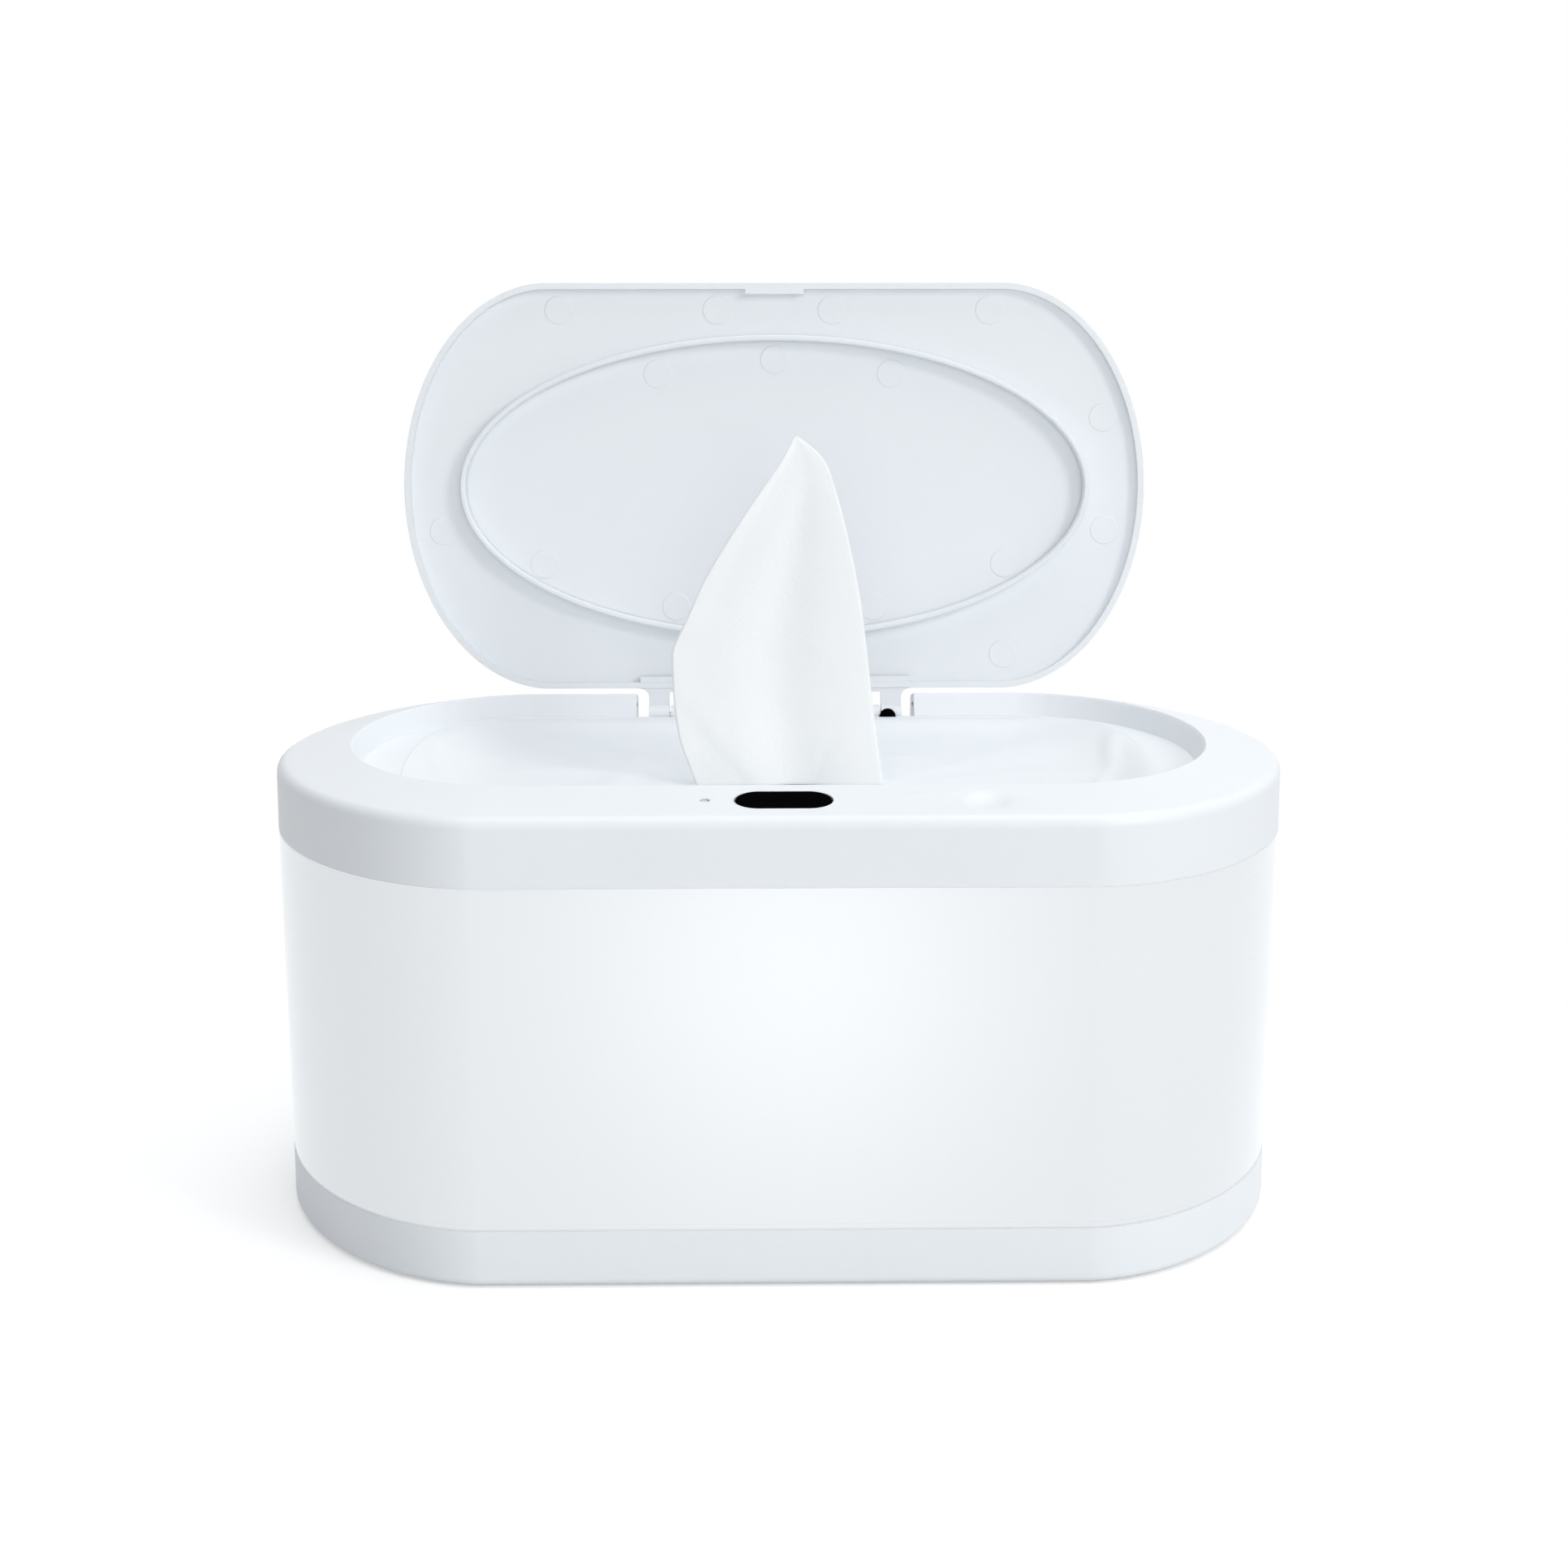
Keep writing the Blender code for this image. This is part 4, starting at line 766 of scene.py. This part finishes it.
@dataclass
class FilmPack(Assembly):
    """The stack of wipes in its film, which fills the tub and sags from its mouth."""
    outset: float = 0.7 * MM
    brim: float = 0.75 * MM
    brim_drop: float = 0.3 * MM
    brim_thickness: float = 0.04 * MM
    brim_share: float = 0.998
    middle_share: float = 0.015
    edge_height: float = 109.28 * MM
    middle_height: float = 103.9 * MM
    rings: int = 70
    points: int = 320
    sag_power: float = 8.0
    calm_share: float = 0.06
    swell: float = 0.4
    swell_span: float = 30 * MM
    flat_start: float = 3 * MM
    flat_span: float = 14 * MM
    fan_rise: float = 0.5
    fan_reach: float = 12 * MM
    fan_start: float = 6 * MM
    fan_folds: int = 9
    wall: float = 2.4 * MM
    lip_gap: float = 0.3 * MM
    foot_edge: Sequence[Point] = ((13.0, 0.0), (8.4, 2.0), (6.4, 5.6))
    wipe_y: float = -6.0 * MM
    slit_half: float = 24.0 * MM
    folds: Sequence[tuple[Sequence[Point], float, float]] = (
        (((-91, 40), (-90, 30), (-88, 14), (-84, -5), (-82, -20), (-84, -40)), 0.9, 3.0),
        (((-90, 44), (-78, 47), (-62, 43), (-38, 6)), 1.3, 16.0),
        (((-64, 10), (-50, 9), (-38, 5), (-44, -12)), 1.1, 13.0),
        (((-37, 35), (-38, 5), (-28, 24)), 1.0, 10.0),
        (((-28, -8), (-48, -24), (-72, -34)), 1.2, 15.0),
        (((90, 44), (86, 22), (85, 9), (79, -11), (83, -38)), 0.9, 3.0),
        (((26, -6), (48, 20), (70, 46)), 1.2, 16.0),
        (((30, -6), (44, 0), (62, 6), (76, 2)), 1.1, 13.0),
        (((28, -10), (50, -26), (70, -40)), 1.1, 15.0),
    )

    def distance(self, x: float, y: float, line: Sequence[Point]) -> float:
        """Distance from a point to a bent line, all in millimetres.

        Args:
            x: Place across.
            y: Place in depth.
            line: The line's points.

        Returns:
            The distance.
        """
        best = math.inf
        for (ax, ay), (bx, by) in zip(line, line[1:]):
            run = (bx - ax) ** 2 + (by - ay) ** 2
            share = min(1.0, max(0.0, ((x - ax) * (bx - ax) + (y - ay) * (by - ay)) / run))
            best = min(best, math.hypot(x - ax - share * (bx - ax), y - ay - share * (by - ay)))
        return best

    def height(self, x: float, y: float, share: float) -> float:
        """Height of the film.

        Args:
            x: Place across.
            y: Place in depth.
            share: How far out the point lies, one at the edge.

        Returns:
            The height above the table.
        """
        sag = self.edge_height - self.middle_height
        level = self.middle_height + sag * ease(share ** self.sag_power)
        calm = ease((1 - share) / self.calm_share)
        crease = 0.0
        for line, rise, width in self.folds:
            near = 1 - self.distance(x / MM, y / MM, line) / width
            if near > 0:
                crease = max(crease, rise * near)
        crease += self.swell * noise(Vector((x, y, 0)) / self.swell_span)
        out = math.hypot(max(abs(x) - self.slit_half, 0), y - self.wipe_y)
        flat = ease((out - self.flat_start) / self.flat_span)
        fan = self.fan_rise * math.exp(-(out / self.fan_reach) ** 2)
        fan *= math.sin(self.fan_folds * math.atan2(y - self.wipe_y, x))
        raised = level + (crease * flat + fan * ease(out / self.fan_start)) * calm * MM
        return min(raised, self.edge_height)

    def ring(self, share: float, inset: float = 0.0, height: float | None = None) -> list[Vector]:
        """Points round the pack.

        Args:
            share: How far out the ring lies, one at the edge.
            inset: How far it is drawn in from there.
            height: Its height, or None on the film.

        Returns:
            The points.
        """
        half_x, half_y, end = ((size + self.outset) * share - inset
                               for size in (MOUTH.half_x, MOUTH.half_y, MOUTH.end))
        made = []
        for index in range(self.points):
            turn = math.tau * (index + 0.5) / self.points
            across, along = (abs(part) ** (2 / MOUTH.power) for part in (math.cos(turn), math.sin(turn)))
            x = math.copysign(half_x - end + end * across, math.cos(turn))
            y = MOUTH.centre_y + math.copysign(half_y * along, math.sin(turn))
            made.append(Vector((x, y, self.height(x, y, share) if height is None else height)))
        return made

    def build(self) -> None:
        """Make the pack as one closed form."""
        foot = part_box("wipes_pack")[0].z
        tub_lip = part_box("wipe_tub")[1].z + self.lip_gap
        sides = [(inset * MM, foot + height * MM) for inset, height in self.foot_edge]
        sides += [(self.wall, tub_lip), (0.0, tub_lip), (0.0, self.edge_height - self.brim_drop)]
        rows = [self.ring(1.0, self.brim + inset, height) for inset, height in sides]
        rows.append(self.ring(1.0, 0.0, self.edge_height - self.brim_thickness))
        rows += [self.ring(1.0), self.ring(self.brim_share)]
        drawn = 1 - self.middle_share
        rows += [self.ring(1 - step / self.rings * drawn) for step in range(1, self.rings + 1)]
        mesh = grid_mesh("film_pack", rows, hoop=True, caps=True)
        piece = self.add("film_pack", mesh, FILM, "wipes_pack")


@dataclass(frozen=True)
class Fold:
    """A soft fold that leans across the cloth as it goes up."""
    depth: float
    place: float
    lean: float
    width: float

    def at(self, across: float, share: float) -> float:
        """The fold's depth at a place, in millimetres."""
        return self.depth * math.exp(-((across - self.place - self.lean * share) / self.width) ** 2)


@dataclass
class PulledWipe(Assembly):
    """The corner of a wipe that stands up from the pack, folded back on itself."""
    foot: float = 104.2 * MM
    height: float = 86.7 * MM
    place_y: float = -6.0 * MM
    thickness: float = 0.35 * MM
    fold_share: float = 0.58
    back_width: float = 0.72
    back_drop: float = 0.30
    back_gap: float = 3.0 * MM
    back_hurry: float = 1.6
    back_calm: float = 0.4
    gap_taper: float = 0.6
    turn_lead: float = 0.006
    turn_share: float = 0.02
    valley: Fold = Fold(2.0, 0.52, 0.04, 0.16)
    valley_taper: float = 0.6
    tip_share: float = 0.3
    lapel: float = 0.5
    lapel_lean: float = 1.05
    lapel_edge: Point = (0.36, 0.11)
    lapel_top: Point = (0.36, 0.2)
    crease: Fold = Fold(0.25, 0.62, 1.1, 0.035)
    crease_top: Point = (0.2, 0.12)
    swell: float = 0.35
    swell_counts: Point = (3.2, 4.0)
    curl: float = 1.2
    curl_share: float = 0.25
    roll: float = 0.8
    roll_share: float = 0.15
    forward: float = 1.0
    rows: int = 110
    columns: int = 120
    left: Sequence[Point] = ((0.0, -20.7), (0.06, -22.6), (0.124, -24.6), (0.20, -25.8), (0.265, -26.3),
                             (0.36, -26.6), (0.394, -26.5), (0.43, -25.2), (0.51, -21.9), (0.58, -19.2),
                             (0.65, -15.8), (0.776, -8.9), (0.89, -2.0), (0.94, 0.9), (1.0, 3.6))
    right: Sequence[Point] = ((0.0, 26.2), (0.10, 24.9), (0.25, 23.2), (0.40, 21.7), (0.545, 20.0),
                              (0.70, 17.2), (0.80, 15.0), (0.90, 12.3), (0.93, 11.0), (0.965, 8.2),
                              (1.0, 4.2))

    def folds(self, across: float, share: float) -> float:
        """Depth of the soft folds.

        Args:
            across: Place across the front, from zero to one.
            share: Place up the wipe, from zero to one.

        Returns:
            How far the cloth lies back, in metres.
        """
        valley = self.valley.at(across, share) * (1 - self.valley_taper * share)
        valley *= ease((1 - share) / self.tip_share)
        slant = across + self.lapel_lean * share
        (edge, edge_blend), (top, top_blend) = self.lapel_edge, self.lapel_top
        lapel = self.lapel * ease((edge - slant) / edge_blend) * ease((top - share) / top_blend)
        crease = self.crease.at(across, share) * ease((self.crease_top[0] - share) / self.crease_top[1])
        soft = self.swell * noise(Vector((self.swell_counts[0] * across, self.swell_counts[1] * share, 0.5)))
        curl = self.curl * ease((share - 1 + self.curl_share) / self.curl_share)
        curl -= self.roll * ease((self.roll_share - across) / self.roll_share) * share
        return (valley + lapel + crease + soft + curl - self.forward) * MM

    def point(self, along: float, share: float) -> Vector:
        """A point of the cloth.

        Args:
            along: Place along a row, from the left edge round the fold to the hidden edge.
            share: Place up the wipe.

        Returns:
            The point in the frame.
        """
        behind = max(0.0, (along - self.fold_share) / (1 - self.fold_share))
        lower = share * (1 - self.back_drop * ease(behind * self.back_hurry))
        left, right = read_table(self.left, lower) * MM, read_table(self.right, lower) * MM
        if behind > 0:
            across = 1 - self.back_width * behind
        else:
            across = along / self.fold_share
        turn = ease((along - self.fold_share + self.turn_lead) / self.turn_share)
        gap = self.back_gap * turn * (1 - self.gap_taper * lower)
        y = self.place_y + self.folds(across, lower) * (1 - self.back_calm * turn) + gap
        return Vector((left + (right - left) * across, y, self.foot + self.height * lower))

    def build(self) -> None:
        """Make the cloth and give it its thickness."""
        rows = [[self.point(column / self.columns, row / self.rows)
                 for column in range(self.columns + 1)] for row in range(self.rows + 1)]
        piece = self.add("wipe_cloth", grid_mesh("wipe_cloth", rows), CLOTH, "pulled_wipe")
        solid = piece.modifiers.new("cloth thickness", "SOLIDIFY")
        solid.thickness = self.thickness
        solid.offset = 0.0
        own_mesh(piece)


@dataclass
class Studio:
    """The camera, the pale floor and the soft lamps."""
    camera_place: Sequence[float] = (-11.67 * MM, -740.2 * MM, 255.97 * MM)
    pitch: float = math.radians(11.66)
    heading: float = math.radians(-1.0)
    view_angle: float = math.radians(29.27)
    ambient: float = 0.52
    sky_tint: Colour = (0.93, 0.97, 1.0)
    floor_half: float = 4.0
    plain_grey: float = 0.82
    paper_grey: float = 0.80
    lift: float = 0.38
    fade: Point = (0.17, 0.30)
    dark_side: float = 0.0
    dark_reach: Point = (-1.0, -0.45)
    lamps: Sequence[tuple[str, Sequence[float], float, float]] = (
        ("key", (1.15, -1.05, 0.95), 0.50, 7.1),
        ("top", (0.15, 0.10, 1.45), 1.2, 8.6),
        ("front", (0.05, -1.80, 0.50), 1.0, 4.8),
    )
    aim: Sequence[float] = (0.0, 0.0, 80 * MM)

    def camera(self) -> None:
        """Stand the camera where the photograph was taken."""
        data = bpy.data.cameras.new("camera")
        data.sensor_fit = "HORIZONTAL"
        data.angle = self.view_angle
        camera = bpy.data.objects.new("camera", data)
        camera.location = self.camera_place
        camera.rotation_euler = (math.pi / 2 - self.pitch, 0.0, self.heading)
        bpy.context.scene.collection.objects.link(camera)
        bpy.context.scene.camera = camera

    def seen(self, graph: Graph) -> Number:
        """Tell the rays that show the background from those that light the object.

        Args:
            graph: The graph of the floor or of the sky.

        Returns:
            One on the rays that show it, zero on the others.
        """
        path = graph.node("ShaderNodeLightPath")
        camera, glossy, through = (graph.number(path, f"Is {kind} Ray")
                                   for kind in ("Camera", "Glossy", "Transmission"))
        return (camera + glossy + through).at_most(1.0)

    def floor(self) -> None:
        """A white floor that keeps the object's shadow."""
        shape = bmesh.new()
        bmesh.ops.create_grid(shape, x_segments=8, y_segments=8, size=self.floor_half)
        mesh = bpy.data.meshes.new("floor")
        shape.to_mesh(mesh)
        shape.free()
        floor = bpy.data.objects.new("floor", mesh)
        bpy.context.scene.collection.objects.link(floor)
        material = bpy.data.materials.new("floor_paper")
        material.use_nodes = True
        graph = Graph(material.node_tree)
        plain, paper = (graph.node("ShaderNodeBsdfDiffuse", inputs={"Color": (grey, grey, grey, 1.0)})
                        for grey in (self.plain_grey, self.paper_grey))
        lift, white = (graph.node("ShaderNodeEmission", inputs={"Color": (*WHITE, 1.0), "Strength": power})
                       for power in (self.lift, 1.0))
        near = graph.node("ShaderNodeAddShader", inputs={0: paper.outputs[0], 1: lift.outputs[0]})
        reach = graph.node("ShaderNodeVectorMath", {"operation": "LENGTH"},
                           {0: graph.node("ShaderNodeTexCoord").outputs["Object"]})
        far = graph.number(reach, "Value").rises(*self.fade)
        shown = graph.node("ShaderNodeMixShader", inputs={0: far, 1: near.outputs[0], 2: white.outputs[0]})
        mixed = graph.node("ShaderNodeMixShader", inputs={0: self.seen(graph), 1: plain.outputs[0],
                                                          2: shown.outputs[0]})
        graph.node("ShaderNodeOutputMaterial", inputs={"Surface": mixed.outputs[0]})
        mesh.materials.append(material)

    def sky(self) -> None:
        """Light all round, falling to dark towards the left side, and white behind the object."""
        world = bpy.data.worlds.new("studio")
        bpy.context.scene.world = world
        world.use_nodes = True
        graph = Graph(world.node_tree)
        way = graph.node("ShaderNodeTexCoord").outputs["Generated"]
        across = graph.number(graph.node("ShaderNodeSeparateXYZ", inputs={"Vector": way}), "X")
        lit = self.dark_side + (self.ambient - self.dark_side) * across.rises(*self.dark_reach)
        strength = lit + (1.0 - lit) * self.seen(graph)
        colour = graph.mix(self.seen(graph), self.sky_tint, WHITE)
        light = graph.node("ShaderNodeBackground", inputs={"Color": colour, "Strength": strength})
        graph.node("ShaderNodeOutputWorld", inputs={"Surface": light.outputs[0]})

    def build(self) -> None:
        """Set up the studio."""
        bpy.context.scene.view_settings.view_transform = "Standard"
        self.camera()
        self.floor()
        self.sky()
        for name, place, size, power in self.lamps:
            data = bpy.data.lights.new(name, "AREA")
            data.size = size
            data.energy = power
            lamp = bpy.data.objects.new(name, data)
            lamp.location = place
            lamp.rotation_euler = (Vector(self.aim) - lamp.location).to_track_quat("-Z", "Y").to_euler()
            bpy.context.scene.collection.objects.link(lamp)


def dress_nodes() -> None:
    """Give the CAD nodes that stay their finishes."""
    for name, finish in CAD_FINISHES.items():
        mesh = frame["nodes"][name].data
        for index in range(len(mesh.materials)):
            mesh.materials[index] = finish.material()
        log.info("%s takes the finish %s", name, finish.name)


def main() -> None:
    """Build the scene."""
    logging.basicConfig(level=logging.INFO, format="%(message)s")
    Studio().build()
    dress_nodes()
    Shells(Body.WARMER).build()
    Lid(Body.LID).build()
    Button(Body.BUTTON).build()
    FilmPack(Body.WARMER).build()
    PulledWipe(Body.WARMER).build()


if __name__ == "__main__":
    main()
